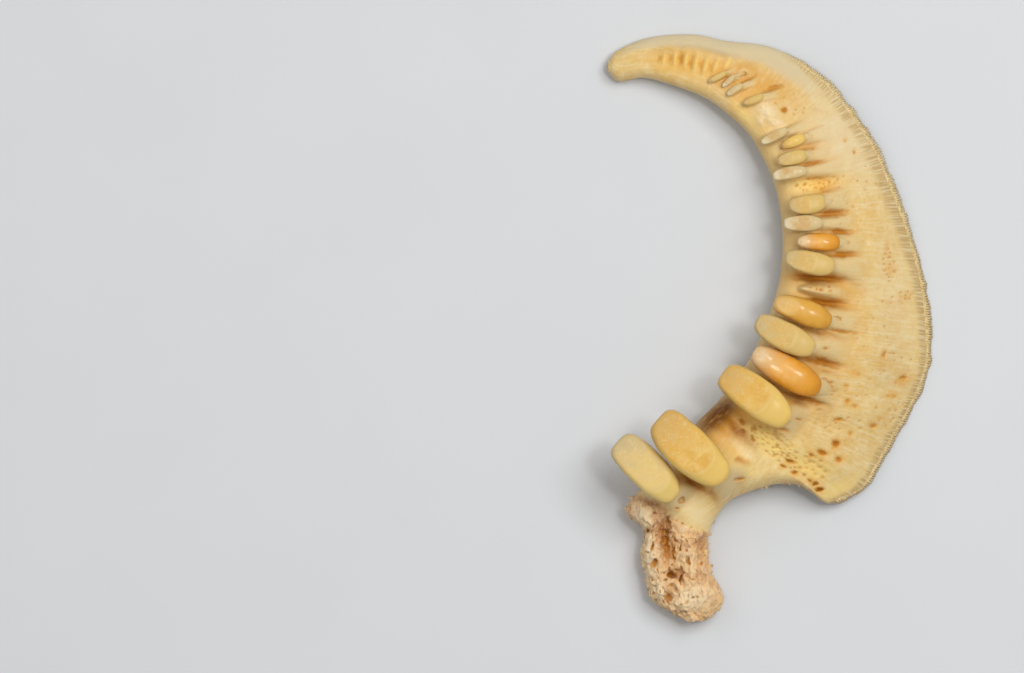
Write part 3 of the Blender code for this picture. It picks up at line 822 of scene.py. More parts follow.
class BoneMaterial:
    """Builds the bone's material from its finish."""

    def __init__(self, finish: BoneFinish) -> None:
        """Keeps the finish and builds its material."""
        self.finish = finish
        self.material = self.build()

    def build(self) -> bpy.types.Material:
        """Mixes the ground colours, then each masked layer, and adds the relief of fibres and pores.

        Returns:
            The material.
        """
        finish = self.finish
        material, shader, place = start_material(finish.name)
        tree = material.node_tree
        fibre = add_node(tree, "ShaderNodeAttribute", attribute_name="fibre").outputs["Vector"]
        lengthwise, band, foot, porous = (
            add_node(tree, "ShaderNodeAttribute", attribute_name=name).outputs["Fac"]
            for name in ("lengthwise", "band", "foot", "porous")
        )
        strand = add_node(
            tree, "ShaderNodeVectorMath", {0: place, 1: (1.0, 0.3, 1.0)}, operation="MULTIPLY"
        ).outputs[0]
        mottle, grain, grit, crust = (
            add_node(
                tree, "ShaderNodeTexNoise",
                {"Vector": where, "Scale": per_metre(size), "Detail": detail, "Roughness": rough,
                 "Distortion": twist},
            ).outputs["Fac"]
            for where, size, detail, rough, twist in (
                (place, 2.4, 6.0, 0.66, 0.5),
                (place, 0.7, 7.0, 0.75, 0.6),
                (place, 0.14, 3.0, 0.6, 0.0),
                (strand, 0.45, 8.0, 0.72, 1.4),
            )
        )
        bend = add_node(
            tree, "ShaderNodeTexNoise", {"Vector": place, "Scale": per_metre(1.6), "Detail": 3.0}
        ).outputs["Color"]
        bend = add_node(tree, "ShaderNodeVectorMath", {0: bend, "Scale": 1.3}, operation="SCALE").outputs[0]
        combed = []
        for stretch, drift, detail, rough in (
            ((1 / 0.21, 1 / 2.2, 1 / 0.21), bend, 4.0, 0.6),
            ((1 / 2.2, 1 / 0.22, 0.0), bend, 4.0, 0.6),
            ((1 / 0.15, 1 / 2.6, 0.0), (0.0, 0.0, 0.0), 1.0, 0.4),
        ):
            stretched = add_node(
                tree, "ShaderNodeVectorMath", {0: fibre, 1: stretch, 2: drift}, operation="MULTIPLY_ADD"
            ).outputs[0]
            inputs = {"Vector": stretched, "Scale": 1.0, "Detail": detail, "Roughness": rough}
            combed.append(add_node(tree, "ShaderNodeTexNoise", inputs).outputs["Fac"])
        sideways, endways, ridges = combed
        streaks = add_node(
            tree, "ShaderNodeMix", {"Factor": lengthwise, "A": sideways, "B": endways}
        ).outputs[0]
        cells = add_node(
            tree, "ShaderNodeTexVoronoi", {"Vector": place, "Scale": per_metre(0.40), "Randomness": 1.0}
        ).outputs["Distance"]

        mottled, colour = lay_coat(
            tree, linear(finish.ground), finish.mottle, mottle, ramp=(0.44, 0.66, 0.62)
        )
        for tone, pattern, ramp in (
            (finish.streak, streaks, (0.47, 0.70, 0.46)),
            ("CFA25A", grain, (0.47, 0.33, 0.45)),
            ("F3E7C8", grain, (0.54, 0.70, 0.35)),
        ):
            _, colour = lay_coat(tree, colour, tone, pattern, ramp=ramp)
        for number, layer in enumerate(finish.layers):
            mask = add_node(tree, "ShaderNodeAttribute", attribute_name=layer.mask).outputs["Fac"]
            patches = add_node(
                tree, "ShaderNodeTexNoise",
                {"Vector": place, "Scale": per_metre(layer.patch), "Detail": 5.0, "Roughness": 0.65,
                 "Distortion": 0.1 * number},
            ).outputs["Fac"]
            even = layer.strength * (1 - layer.ragged)
            uneven = add_node(
                tree, "ShaderNodeMath", {0: patches, 1: 2 * layer.strength * layer.ragged, 2: even},
                operation="MULTIPLY_ADD",
            ).outputs[0]
            _, colour = lay_coat(tree, colour, layer.colour, mask, uneven)
        for tone, pattern, where, ramp in (
            ("B08C50", ridges, band, (0.49, 0.38, 0.42)),
            ("EEDCB0", ridges, band, (0.51, 0.62, 0.50)),
            ("9A5A26", crust, foot, (0.46, 0.33, 0.5)),
            ("FAE8C6", crust, foot, (0.54, 0.70, 0.6)),
        ):
            _, colour = lay_coat(tree, colour, tone, pattern, where, ramp)
        pores, colour = lay_coat(tree, colour, finish.pore, cells, porous, (0.26, 0.10, 1.0))

        normal = {}
        for height, where, strength, depth in (
            (streaks, 1.0, 0.6, 0.07),
            (ridges, band, 0.8, 0.14),
            (grit, 1.0, 0.5, 0.03),
            (pores, 1.0, 0.8, -0.12),
            (crust, foot, 0.8, 0.11),
        ):
            raised = add_node(tree, "ShaderNodeMath", {0: height, 1: where}, operation="MULTIPLY").outputs[0]
            relief = {"Height": raised, "Strength": strength, "Distance": abs(depth) * MILLIMETRE}
            bump = add_node(tree, "ShaderNodeBump", {**relief, **normal}, invert=depth < 0)
            normal = {"Normal": bump.outputs[0]}
        roughness = add_node(
            tree, "ShaderNodeMapRange", {"Value": mottled, "To Min": 0.46, "To Max": 0.6}
        ).outputs[0]
        look = {
            "Base Color": colour,
            "Roughness": roughness,
            **normal,
            "IOR": finish.refraction,
            "Subsurface Weight": finish.glow,
            "Subsurface Radius": finish.scatter,
            "Subsurface Scale": finish.scatter_mm * MILLIMETRE,
        }
        fill_inputs(tree, shader, look)
        return material


@dataclass(frozen=True)
class PlateFinish:
    """Thin bare bone plates at the rim and torn splinters: tan, darker between them, dry and dull."""

    name: str
    light: str
    dark: str

    def build(self) -> bpy.types.Material:
        """Mixes light and dark by fine noise, so that each plate differs from the next.

        Returns:
            The material.
        """
        material, shader, place = start_material(self.name)
        tree = material.node_tree
        grain = add_node(
            tree, "ShaderNodeTexNoise",
            {"Vector": place, "Scale": per_metre(0.3), "Detail": 4.0, "Roughness": 0.7},
        ).outputs["Fac"]
        _, colour = lay_coat(tree, linear(self.dark), self.light, grain, ramp=(0.38, 0.62, 1.0))
        fill_inputs(tree, shader, {"Base Color": colour, "Roughness": 0.55, "IOR": 1.5})
        return material


@dataclass(frozen=True)
class Spot(Oval):
    """A hole or hollow, or a lump where its depth is below zero.

    dark is its colour, stain with painted shade: up to 1 it is amber, and above 1 it turns deep brown.
    """

    depth: float
    dark: float = 1.0


@dataclass(frozen=True)
class Zone(Oval):
    """A patch of the bone with a colour of its own, as strong as strength at its middle."""

    strength: float


@dataclass(frozen=True)
class Sponge(Oval):
    """A patch of open, spongy bone with a number of small holes."""

    count: int
    hole: tuple[float, float]
    depth: float
    stain: float
    seed: int

    def spots(self) -> list[Spot]:
        """Draws the patch's holes.

        Returns:
            Holes inside the patch, longer than wide, lying roughly along it.
        """
        draw = np.random.default_rng(self.seed)
        turn = math.radians(self.angle)
        along_way, side_way = (math.cos(turn), math.sin(turn)), (-math.sin(turn), math.cos(turn))
        spots: list[Spot] = []
        for _ in range(8 * self.count):
            radius, angle = math.sqrt(draw.uniform(0, 1)), draw.uniform(0, math.tau)
            along, aside = self.long * radius * math.cos(angle), self.short * radius * math.sin(angle)
            size = draw.uniform(*self.hole)
            spot = Spot(
                self.x + along * along_way[0] + aside * side_way[0],
                self.y + along * along_way[1] + aside * side_way[1],
                size * draw.uniform(1.0, 1.7), size,
                self.angle + draw.uniform(-25, 25), self.depth * draw.uniform(0.6, 1.0),
                draw.uniform(0.45, 0.95),
            )
            clear = all(math.hypot(spot.x - s.x, spot.y - s.y) > 1.5 * (spot.long + s.long) for s in spots)
            if clear and len(spots) < self.count:
                spots.append(spot)
        return spots


# Nerve and vessel holes that show as single openings, from the lobe up to the horn, then on the foot.
FORAMINA = (
    Spot(5.9, -10.6, 0.30, 0.27, 0, 0.8, 1.15),
    Spot(6.2, -12.1, 0.25, 0.20, -40, 0.6),
    Spot(4.7, -11.4, 0.42, 0.15, -25, 0.6, 1.25),
    Spot(3.6, -11.65, 0.14, 0.14, 0, 0.4, 1.3),
    Spot(1.7, -12.2, 0.42, 0.12, -25, 0.5, 1.1),
    Spot(1.0, -12.6, 0.20, 0.09, -20, 0.4, 1.2),
    Spot(6.1, -8.4, 0.34, 0.08, 0, 0.4, 1.35),
    Spot(7.0, -6.75, 0.15, 0.12, -30, 0.3),
    Spot(7.65, -7.15, 0.16, 0.10, 40, 0.3, 0.8),
    Spot(7.25, -9.7, 0.12, 0.20, -10, 0.3, 0.8),
    Spot(6.85, -5.3, 0.14, 0.10, 40, 0.3),
    Spot(12.15, -4.6, 0.34, 0.10, 5, 0.4, 1.35),
    Spot(9.4, -8.95, 0.30, 0.14, 10, 0.3, 1.1),
    Spot(10.35, -2.45, 0.16, 0.28, -15, 0.3, 0.8),
    Spot(4.45, -14.75, 0.34, 0.15, 8, 0.9, 1.7),
    Spot(4.05, -14.3, 0.26, 0.11, 8, 0.8, 1.6),
    Spot(3.6, -13.95, 0.24, 0.07, -10, 0.4, 1.4),
    Spot(2.2, -13.25, 0.28, 0.09, 0, 0.3, 1.1),
    Spot(-3.0, -13.8, 0.40, 0.16, 5, 0.4, 0.9),
    Spot(-8.2, -15.75, 0.26, 0.24, 60, 0.7, 1.2),
    Spot(-8.6, -16.45, 0.14, 0.11, 0, 0.4, 1.1),
    Spot(2.45, -8.4, 0.26, 0.11, -20, 0.3, 1.0),
    Spot(4.95, -1.9, 0.22, 0.10, -15, 0.4, 1.1),
    Spot(6.0, 0.85, 0.36, 0.14, -15, 0.5, 1.25),
    Spot(6.9, 7.8, 0.22, 0.09, 0, 0.4, 1.4),
    Spot(5.45, 11.55, 0.11, 0.11, 0, 0.3, 1.1),
    Spot(3.75, 15.85, 0.14, 0.07, 10, 0.3, 1.1),
    Spot(3.7, 17.4, 0.12, 0.09, 10, 0.3, 1.2),
    Spot(1.2, 19.9, 0.28, 0.16, -10, 0.4, 1.25),
    Spot(-2.6, 23.2, 0.34, 0.16, 25, 0.4, 1.2),
    Spot(6.8, 17.2, 0.10, 0.10, 0, 0.2),
    Spot(7.7, 16.1, 0.10, 0.10, 0, 0.2),
)
# The narrow hollows between neighbouring roots, from the foot up to the horn, browned by stain and painted
# shade.
SLOTS = (
    Spot(-7.1, -14.0, 1.4, 0.28, -42, 0.5, 1.15),
    Spot(0.9, -9.25, 0.7, 0.22, -20, 0.3, 0.8),
    Spot(3.3, -6.5, 1.7, 0.22, -18, 0.5, 1.3),
    Spot(4.9, -5.2, 0.6, 0.40, -30, 0.5, 1.35),
    Spot(4.4, -3.05, 1.9, 0.30, -14, 0.8, 1.4),
    Spot(6.2, -0.3, 1.6, 0.14, -8, 0.3, 1.0),
    Spot(4.5, 2.30, 2.1, 0.28, -5, 0.7, 1.3),
    Spot(4.4, 4.50, 2.3, 0.30, -3, 0.7, 1.3),
    Spot(6.4, 6.65, 1.3, 0.18, 4, 0.4, 1.1),
    Spot(6.3, 8.75, 1.0, 0.20, -6, 0.4, 1.1),
    Spot(5.6, 10.4, 1.3, 0.26, 5, 0.3, 0.8),
    Spot(3.85, 15.0, 1.1, 0.13, 12, 0.3, 0.9),
    Spot(3.2, 16.25, 0.9, 0.16, 8, 0.3, 1.0),
    Spot(0.2, 21.85, 1.0, 0.20, 18, 0.3, 0.8),
    Spot(-2.2, 22.6, 0.9, 0.18, 35, 0.3, 0.9),
)
# Vestiges of small teeth in the horn's hollow, and the gaps between them.
VESTIGES = (
    Spot(-9.75, 24.60, 0.55, 0.18, 84, -0.16),
    Spot(-8.75, 24.60, 0.70, 0.24, 82, -0.22),
    Spot(-7.75, 24.50, 0.75, 0.28, 80, -0.28),
    Spot(-6.85, 24.20, 0.85, 0.34, 78, -0.36),
    Spot(-5.95, 23.95, 0.85, 0.36, 74, -0.38),
    Spot(-5.05, 23.90, 0.70, 0.32, 68, -0.30),
    Spot(-4.0, 24.1, 0.60, 0.30, 60, -0.20),
)
VESTIGE_GAPS = (
    Spot(-9.25, 24.65, 0.40, 0.12, 84, 0.08, 0.6),
    Spot(-8.25, 24.60, 0.55, 0.16, 80, 0.13, 0.9),
    Spot(-7.3, 24.35, 0.55, 0.14, 78, 0.10, 0.65),
    Spot(-6.4, 24.05, 0.45, 0.10, 74, 0.08, 0.5),
    Spot(-5.5, 23.85, 0.40, 0.10, 70, 0.08, 0.45),
    Spot(-10.2, 24.65, 0.35, 0.14, 84, 0.06, 0.5),
)
# The wall of the hollow between the second and third tooth, brown bone under painted shadow, the stain round
# it, and its furrow.
WALL = Oval(-5.05, -8.15, 2.5, 1.0, 42)
WALL_STAIN = Oval(-4.4, -8.7, 2.7, 1.9, 30)
WALL_FURROW = Oval(-2.9, -9.5, 2.0, 0.42, -52)
# The pointed cone of bone where a tooth was lost: its two ends seen from above, its size and its pores.
CONE_TIP, CONE_END = (2.35, 3.62), (7.6, 2.95)
CONE_HALF_WIDTH, CONE_HEIGHT = 0.68, 1.2
CONE_PORES = (
    Spot(4.05, 3.55, 0.12, 0.09, 0, 0.25, 1.0),
    Spot(4.5, 3.5, 0.20, 0.13, -40, 0.30, 1.1),
    Spot(5.3, 3.35, 0.10, 0.14, 0, 0.25, 0.9),
    Spot(5.25, 3.75, 0.08, 0.08, 0, 0.20, 0.8),
    Spot(3.5, 3.6, 0.10, 0.07, 0, 0.20, 0.7),
)
# Pale lumps of fresh bone at the horn's root.
LUMPS = (
    Spot(-0.4, 19.9, 1.3, 0.8, -40, -0.35, 0.9),
    Spot(0.4, 18.8, 0.9, 0.5, -20, -0.30, 0.8),
    Spot(-1.0, 18.9, 0.5, 0.3, -50, -0.20, 0.6),
)
# Clear yellow bone, pale chalky bone, dry greyish bone, and amber clouds.
BRIGHT = (
    # Yellow bone and painted light as well, lifting the third tooth's shadow.
    Zone(-0.3, -10.2, 2.7, 1.3, -35, 1.0),
    Zone(3.4, -12.6, 2.6, 1.0, -25, 0.7),
    Zone(-3.0, -12.3, 2.4, 1.0, -42, 0.45),
    Zone(-7.2, -16.6, 2.2, 1.5, -50, 0.5),
    Zone(-2.4, 19.4, 1.6, 0.6, -52, 0.5),
    Zone(6.4, -14.6, 1.6, 0.8, 20, 0.7),
    Zone(4.2, 13.2, 1.9, 0.75, 10, 0.9),
    Zone(-7.0, 24.1, 3.0, 0.9, -8, 0.75),
    Zone(-1.2, 20.6, 1.6, 1.0, -40, 0.4),
)
PALE = (
    Zone(-4.7, -9.8, 1.2, 0.45, -42, 0.15),
    Zone(-2.9, -11.0, 1.2, 0.35, -42, 0.35),
    Zone(6.5, 17.2, 4.5, 2.4, -52, 0.30),
    Zone(-7.0, -16.8, 1.9, 1.2, -50, 0.55),
    Zone(11.5, 4.0, 1.2, 5.0, 8, 0.20),
)
DRY = (
    Zone(6.5, 17.2, 4.5, 2.4, -52, 0.50),
    Zone(10.8, -0.5, 1.6, 7.5, 4, 0.30),
    Zone(6.6, 12.5, 0.9, 3.0, -20, 0.25),
)
CLOUDS = (
    Zone(-3.4, 23.4, 1.3, 0.8, 20, 0.85),
    Zone(8.3, -2.0, 1.1, 0.45, 5, 0.35),
    Zone(7.6, -4.1, 0.7, 0.4, 10, 0.65),
    Zone(10.3, -3.3, 0.9, 0.6, 0, 0.4),
    Zone(12.0, -4.9, 0.9, 0.4, 15, 0.70),
    Zone(11.1, -6.2, 0.7, 0.4, 10, 0.65),
    Zone(10.3, -8.2, 0.8, 0.4, 20, 0.4),
    Zone(12.3, -1.5, 0.8, 0.3, 0, 0.35),
    Zone(10.9, 5.4, 0.5, 0.7, 0, 0.70),
    Zone(10.6, 7.3, 0.3, 0.9, 0, 0.60),
    Zone(12.3, 2.7, 0.6, 0.5, 0, 0.5),
    Zone(9.2, 10.5, 0.5, 1.2, -15, 0.3),
    Zone(7.0, 13.4, 0.6, 0.5, 0, 0.35),
)
# Open, spongy patches of the lobe, the blade, the horn's root and the foot.
SPONGES = (
    Sponge(-2.2, -9.4, 1.1, 0.55, -45, 9, (0.13, 0.20), 0.5, 0.6, 10),
    Sponge(0.2, -10.5, 2.4, 1.1, -35, 60, (0.07, 0.12), 0.14, 0.0, 11),
    Sponge(2.6, -12.3, 2.9, 1.1, -22, 34, (0.08, 0.15), 0.2, 0.1, 12),
    Sponge(6.2, -8.2, 2.2, 3.0, 0, 30, (0.05, 0.10), 0.20, 0.15, 13),
    Sponge(5.0, -5.4, 0.9, 0.7, -35, 16, (0.07, 0.13), 0.4, 0.9, 14),
    Sponge(4.2, 13.2, 2.0, 0.55, 10, 46, (0.06, 0.12), 0.3, 0.2, 15),
    Sponge(5.9, 10.45, 1.2, 0.30, 5, 12, (0.06, 0.10), 0.25, 0.6, 16),
    Sponge(10.8, 5.7, 0.55, 1.7, 5, 16, (0.07, 0.14), 0.20, 0.3, 18),
    Sponge(12.3, 2.8, 0.7, 0.6, 0, 9, (0.06, 0.12), 0.15, 0.2, 20),
    Sponge(11.0, -7.4, 1.5, 1.8, 0, 16, (0.05, 0.11), 0.20, 0.1, 21),
    Sponge(11.4, -3.3, 1.6, 2.2, 0, 12, (0.05, 0.10), 0.20, 0.1, 27),
    Sponge(9.5, -1.0, 3.0, 6.0, 5, 26, (0.05, 0.09), 0.15, 0.05, 25),
    Sponge(8.0, 11.5, 2.4, 4.5, -25, 26, (0.05, 0.09), 0.15, 0.05, 26),
    Sponge(1.5, 21.0, 2.0, 1.2, -40, 12, (0.05, 0.09), 0.15, 0.1, 28),
    Sponge(-9.0, -21.6, 4.4, 3.0, 98, 80, (0.06, 0.12), 0.35, 0.0, 29),
)
# Where smooth bone gives way to the torn foot, seen from above, and the foot's white and brown zones.
FOOT_BORDER = ((-12.8, -14.9), (-12.0, -15.2), (-9.7, -16.5), (-8.5, -17.4), (-7.2, -18.6), (-5.6, -18.5))
FOOT_WHITE = (
    Zone(-11.7, -17.3, 1.2, 0.9, 110, 0.9),
    Zone(-11.1, -20.9, 2.8, 0.7, 96, 0.85),
    Zone(-10.2, -24.0, 1.4, 0.9, 120, 0.8),
    Zone(-7.3, -24.8, 2.0, 1.2, 10, 0.85),
    Zone(-7.6, -21.0, 0.8, 1.3, 20, 0.45),
)
FOOT_BROWN = (
    Zone(-9.8, -18.9, 2.4, 0.75, 97, 1.0),
    Zone(-10.9, -15.9, 1.3, 0.5, -28, 0.9),
    Zone(-6.4, -19.3, 1.0, 0.6, 90, 0.7),
    Zone(-9.3, -24.5, 0.8, 0.4, 80, 0.8),
    Zone(-6.2, -22.4, 0.5, 1.1, 0, 0.5),
    Zone(-8.8, -22.6, 0.8, 0.5, 20, 0.7),
)
# The larger holes and hollows of the foot.
FOOT_HOLES = (
    Spot(-9.4, -17.7, 0.20, 0.30, 0, 0.6, 1.6),
    Spot(-9.5, -18.6, 0.16, 0.26, 10, 0.5, 1.6),
    Spot(-8.3, -20.2, 0.18, 0.14, 0, 0.5, 1.6),
    Spot(-9.1, -22.55, 0.28, 0.26, 60, 0.9, 1.8),
    Spot(-8.2, -22.95, 0.20, 0.28, 20, 0.7, 1.7),
    Spot(-10.65, -21.5, 0.45, 0.30, 60, 0.5, 1.1),
    Spot(-7.55, -21.3, 0.22, 0.34, 20, 0.4, 1.0),
    Spot(-9.35, -24.6, 0.35, 0.5, 0, 0.5, 1.15),
    Spot(-11.25, -18.6, 0.14, 0.22, 0, 0.5, 1.4),
    Spot(-10.6, -17.0, 0.16, 0.12, 0, 0.4, 1.3),
    Spot(-10.8, -19.9, 0.16, 0.30, 0, 0.4, 1.2),
    Spot(-7.9, -25.9, 0.20, 0.12, 0, 0.3, 1.1),
    Spot(-9.0, -20.6, 0.12, 0.8, 5, 0.5, 1.35),
    Spot(-9.6, -19.6, 0.30, 1.6, 6, 0.5, 1.2),
)


@dataclass
class BoneSkin:
    """The whole bone as one closed skin, with its slots, holes, fibres and stains."""

    chart: Chart
    ground: GroundFinder
    material: bpy.types.Material
    rows: int = 690
    top_columns: int = 104
    under_columns: int = 25
    tip_rows: int = 6
    tip_reach: float = 0.14
    middle_column: int = 60
    band_width: tuple[tuple[float, float], ...] = (
        (5, 0.5), (6, 1.0), (8, 1.6), (11, 1.4), (14, 1.0), (18, 0.8), (19, 0.3),
    )
    masks: dict[str, np.ndarray] = field(default_factory=dict)
    shake: np.ndarray | float = 0.0
    breaks: np.ndarray | float = 1.0

    def build(self) -> bpy.types.Object:
        """Makes the skin.

        Returns:
            The finished object.
        """
        stations = self.chart.even_stations(self.rows)
        across = (1 - np.cos(np.linspace(0, math.pi, self.top_columns))) / 2
        across = 0.55 * across + 0.45 * np.linspace(0, 1, self.top_columns)
        back = (1 - np.cos(np.linspace(0, math.pi, self.under_columns + 2))) / 2
        top, _ = self.chart.surface(stations, across)
        _, under = self.chart.surface(stations, back)
        rings = np.concatenate([top, under[:, -2:0:-1]], axis=1)
        columns = rings.shape[1]
        shares = np.concatenate([across, back[-2:0:-1]])
        upper = np.concatenate([np.ones(self.top_columns), np.zeros(self.under_columns)])

        station_grid = np.repeat(stations, columns)
        share_grid = np.tile(shares, self.rows)
        upper_grid = np.tile(upper, self.rows)
        points = rings.reshape(-1, 3)
        widths = np.linalg.norm(top[:, -1] - top[:, 0], axis=1)
        steps = np.linalg.norm(np.diff(top[:, self.middle_column], axis=0), axis=1)
        lengths = np.concatenate([[0], np.cumsum(steps)])
        across_mm = share_grid * np.repeat(widths, columns)
        to_rim = np.repeat(widths, columns) - across_mm
        fibre = np.stack([np.repeat(lengths, columns), across_mm, np.zeros_like(across_mm)], axis=1)

        self.mask_regions(station_grid, share_grid, upper_grid, to_rim, points)
        points = self.carve(points, station_grid, share_grid, upper_grid)
        points[:, 2] = np.maximum(points[:, 2], 0.0)

        tip_points, tip_end = self.round_tip(points[:columns])
        foot_end = points[-columns:].mean(axis=0)
        all_points = np.concatenate([tip_points, points, [tip_end], [foot_end]])
        faces = outward(all_points, ring_faces(self.rows + self.tip_rows, columns))
        attributes = {}
        for name, values in {**self.masks, "fibre": fibre}.items():
            start = np.concatenate([values[:columns]] * self.tip_rows)
            attributes[name] = np.concatenate([start, values, values[:1], values[-1:]])
        return mesh_piece("bone_skin", all_points, faces, self.material, attributes)

    def round_tip(self, first_ring: np.ndarray) -> tuple[np.ndarray, np.ndarray]:
        """Rounds off the horn's end with shrinking copies of its first ring.

        Args:
            first_ring: The ring at station 0.

        Returns:
            The rings from the tip on, and the outermost point.
        """
        centre = first_ring.mean(axis=0)
        reach = np.array((-self.tip_reach, 0.0, 0.0))
        rings = []
        for k in range(self.tip_rows, 0, -1):
            angle = k / (self.tip_rows + 1) * math.pi / 2
            rings.append(centre + (first_ring - centre) * math.cos(angle) + reach * math.sin(angle))
        return np.concatenate(rings), centre + reach

    def mask_regions(
        self,
        station: np.ndarray,
        share: np.ndarray,
        upper: np.ndarray,
        to_rim: np.ndarray,
        points: np.ndarray,
    ) -> None:
        """Marks where each colour layer lies.

        Args:
            station: Place along the bone of each vertex.
            share: Its share of the width.
            upper: 1 on the upper surface.
            to_rim: Its distance from the outer edge in millimetres.
            points: The smooth surface.
        """
        wave = layered(points, 2.2, 3)
        width = smooth_curve(self.band_width, np.clip(station, 5, 19)) * (1 + 0.12 * wave)
        on_rim = plateau((5.0, 6.2), (18.6, 19.4), station)
        self.masks["band"] = (1 - smoothstep(0.55, 1.05, to_rim / width)) * on_rim
        horn = plateau((0.8, 2), (5.5, 7.5), station)
        self.masks["horn_rim"] = smoothstep(0.70, 0.8, share + 0.02 * wave) * horn
        inner = 1 - smoothstep(0.05, 0.25, share + 0.05 * wave)
        self.masks["shaft"] = np.maximum(inner * smoothstep(3, 8, station), 0.6 * (1 - upper)) * (
            1 - smoothstep(24, 26, station)
        )
        torn_edge = np.interp(points[:, 0], *zip(*FOOT_BORDER))
        below = smoothstep(0.25, -0.35, points[:, 1] - torn_edge + 0.35 * wave)
        self.masks["foot"] = below * smoothstep(24.0, 24.5, station)
        sideways = smoothstep(0.16, 0.30, share) * plateau((3.5, 6.0), (18.5, 20.5), station)
        self.masks["lengthwise"] = 1 - sideways
        trough = np.exp(-(((share - 0.48) / 0.24) ** 2)) * plateau((1.2, 3.0), (5.2, 7.0), station)
        row = smooth_curve(((0, 0.5), (6, 0.48), (9, 0.43), (13, 0.40), (18, 0.34), (33, 0.3)), station)
        near_row = np.exp(-(((share - row) / 0.14) ** 2)) * plateau((6, 8), (17, 20), station)
        halo = WALL_STAIN.share(points, 2.5)
        self.masks["stain"] = np.clip(upper * (0.72 * trough + 0.62 * near_row + 0.95 * halo), 0, 1)
        turn = math.radians(WALL.angle)
        cosine, sine = math.cos(turn), math.sin(turn)
        combed = points @ np.array([(0.2 * cosine, -sine, 0), (0.2 * sine, cosine, 0), (0, 0, 0.4)])
        fibres = layered(combed, 0.24, 8)
        shaken = points + 0.2 * wave[:, None]
        # Deep brown painted shadow on the wall, with the bone's fibres showing through.
        self.masks["brown_and_shade"] = upper * WALL.share(shaken, 2.6) * np.clip(1.1 + 0.5 * fibres, 0.65, 1)
        for name in ("chalk", "porous", "pit", "root_tone", "furrow", "gold"):
            self.masks[name] = np.zeros(len(points))
        furrow = WALL_FURROW.share(shaken, 2.2) * np.clip(1 + 0.5 * fibres, 0.4, 1)
        self.raise_mask("furrow", 0.75 * upper * furrow)
        for name, zones in (("gold", BRIGHT), ("chalk", PALE), ("horn_rim", DRY)):
            self.raise_zones(name, zones, points, upper)

    def raise_mask(self, name: str, values: np.ndarray) -> None:
        """Keeps the larger of the mask and the new values."""
        self.masks[name] = np.maximum(self.masks[name], values)

    def raise_zones(self, name: str, zones: Sequence[Zone], points: np.ndarray, where: np.ndarray) -> None:
        """Raises a mask in each of the zones.

        Args:
            name: The mask.
            zones: Where it is raised, and how far.
            points: The smooth surface.
            where: What the zones are multiplied by.
        """
        for zone in zones:
            self.raise_mask(name, zone.strength * zone.share(points, 2.0) * where)

    def sink(self, spot: Spot, points: np.ndarray, upper: np.ndarray, power: float = 3.0) -> np.ndarray:
        """Colours a hollow by its darkness, as stain with painted shade.

        Args:
            spot: The hollow.
            points: The smooth surface.
            upper: 1 on the upper surface.
            power: How steep its wall is.

        Returns:
            How far each vertex sinks.
        """
        hole = spot.share(points + self.shake, power) * upper
        self.raise_mask("pit", hole * min(spot.dark, 1.0))
        self.raise_mask("brown_and_shade", hole * np.clip((spot.dark - 1.0) * 1.2, 0, 1) * self.breaks)
        halo = Oval(spot.x, spot.y, spot.long * 1.2 + 0.1, spot.short * 2.0 + 0.15, spot.angle)
        self.raise_mask("stain", 0.8 * min(spot.dark, 1.0) * halo.share(points, 2.0) * upper)
        return spot.depth * hole

    def carve(
        self, points: np.ndarray, station: np.ndarray, share: np.ndarray, upper: np.ndarray
    ) -> np.ndarray:
        """Gives the smooth surface its ridges, slots, holes and roughness.

        Args:
            points: The smooth surface.
            station: Place along the bone of each vertex.
            share: Its share of the width.
            upper: 1 on the upper surface.

        Returns:
            The carved surface.
        """
        self.shake = np.stack([0.10 * layered(points, 0.6, 43 + 5 * k) for k in range(3)], axis=1)
        self.breaks = np.clip(0.85 + 0.5 * layered(points, 0.4, 47), 0.3, 1)
        inland = smoothstep(0.0, 0.06, share) * smoothstep(1.0, 0.97, share)
        lift = 0.025 * layered(points, 1.2, 41) * upper * inland
        ridges = np.zeros(len(points))
        for tooth in TEETH:
            ridges = np.maximum(ridges, self.root_ridge(points, tooth) * upper)
        for name in ("root_tone", "stain"):
            self.masks[name] *= upper
        lift += ridges
        for slot in SLOTS:
            lift -= self.sink(slot, points, upper)
        lift += self.lost_tooth_cone(points) * upper
        for hole in CONE_PORES + FORAMINA:
            lift -= self.sink(hole, points, upper)
        for ridge in VESTIGES:
            lump = ridge.share(points) * upper
            lift -= ridge.depth * lump
            self.raise_mask("gold", 0.8 * lump)
            self.masks["stain"] *= 1 - 0.45 * lump
        for gap in VESTIGE_GAPS:
            lift -= self.sink(gap, points, upper)
        for lump in LUMPS:
            swell = lump.share(points, 2.0) * upper * (0.3 + 0.7 * ridged(points, 0.45, 71))
            lift -= lump.depth * swell
            self.raise_mask("chalk", lump.dark * swell)
        self.raise_zones("stain", CLOUDS, points, upper)
        for sponge in SPONGES:
            patch = sponge.share(points) * upper
            self.raise_mask("stain", patch * sponge.stain * 0.8)
            self.raise_mask("porous", patch * 0.2)
            for spot in sponge.spots():
                hole = spot.share(points) * upper
                lift -= spot.depth * hole
                # Each hole is coloured amber, as stain with painted shade.
                self.raise_mask("pit", hole * spot.dark)
        # The first bright zone, also painted light over the third tooth's shadow, is kept clear of stain.
        self.masks["stain"] *= 1 - 0.75 * BRIGHT[0].share(points, 3.0)
        return self.roughen_foot(points, lift, upper, inland)

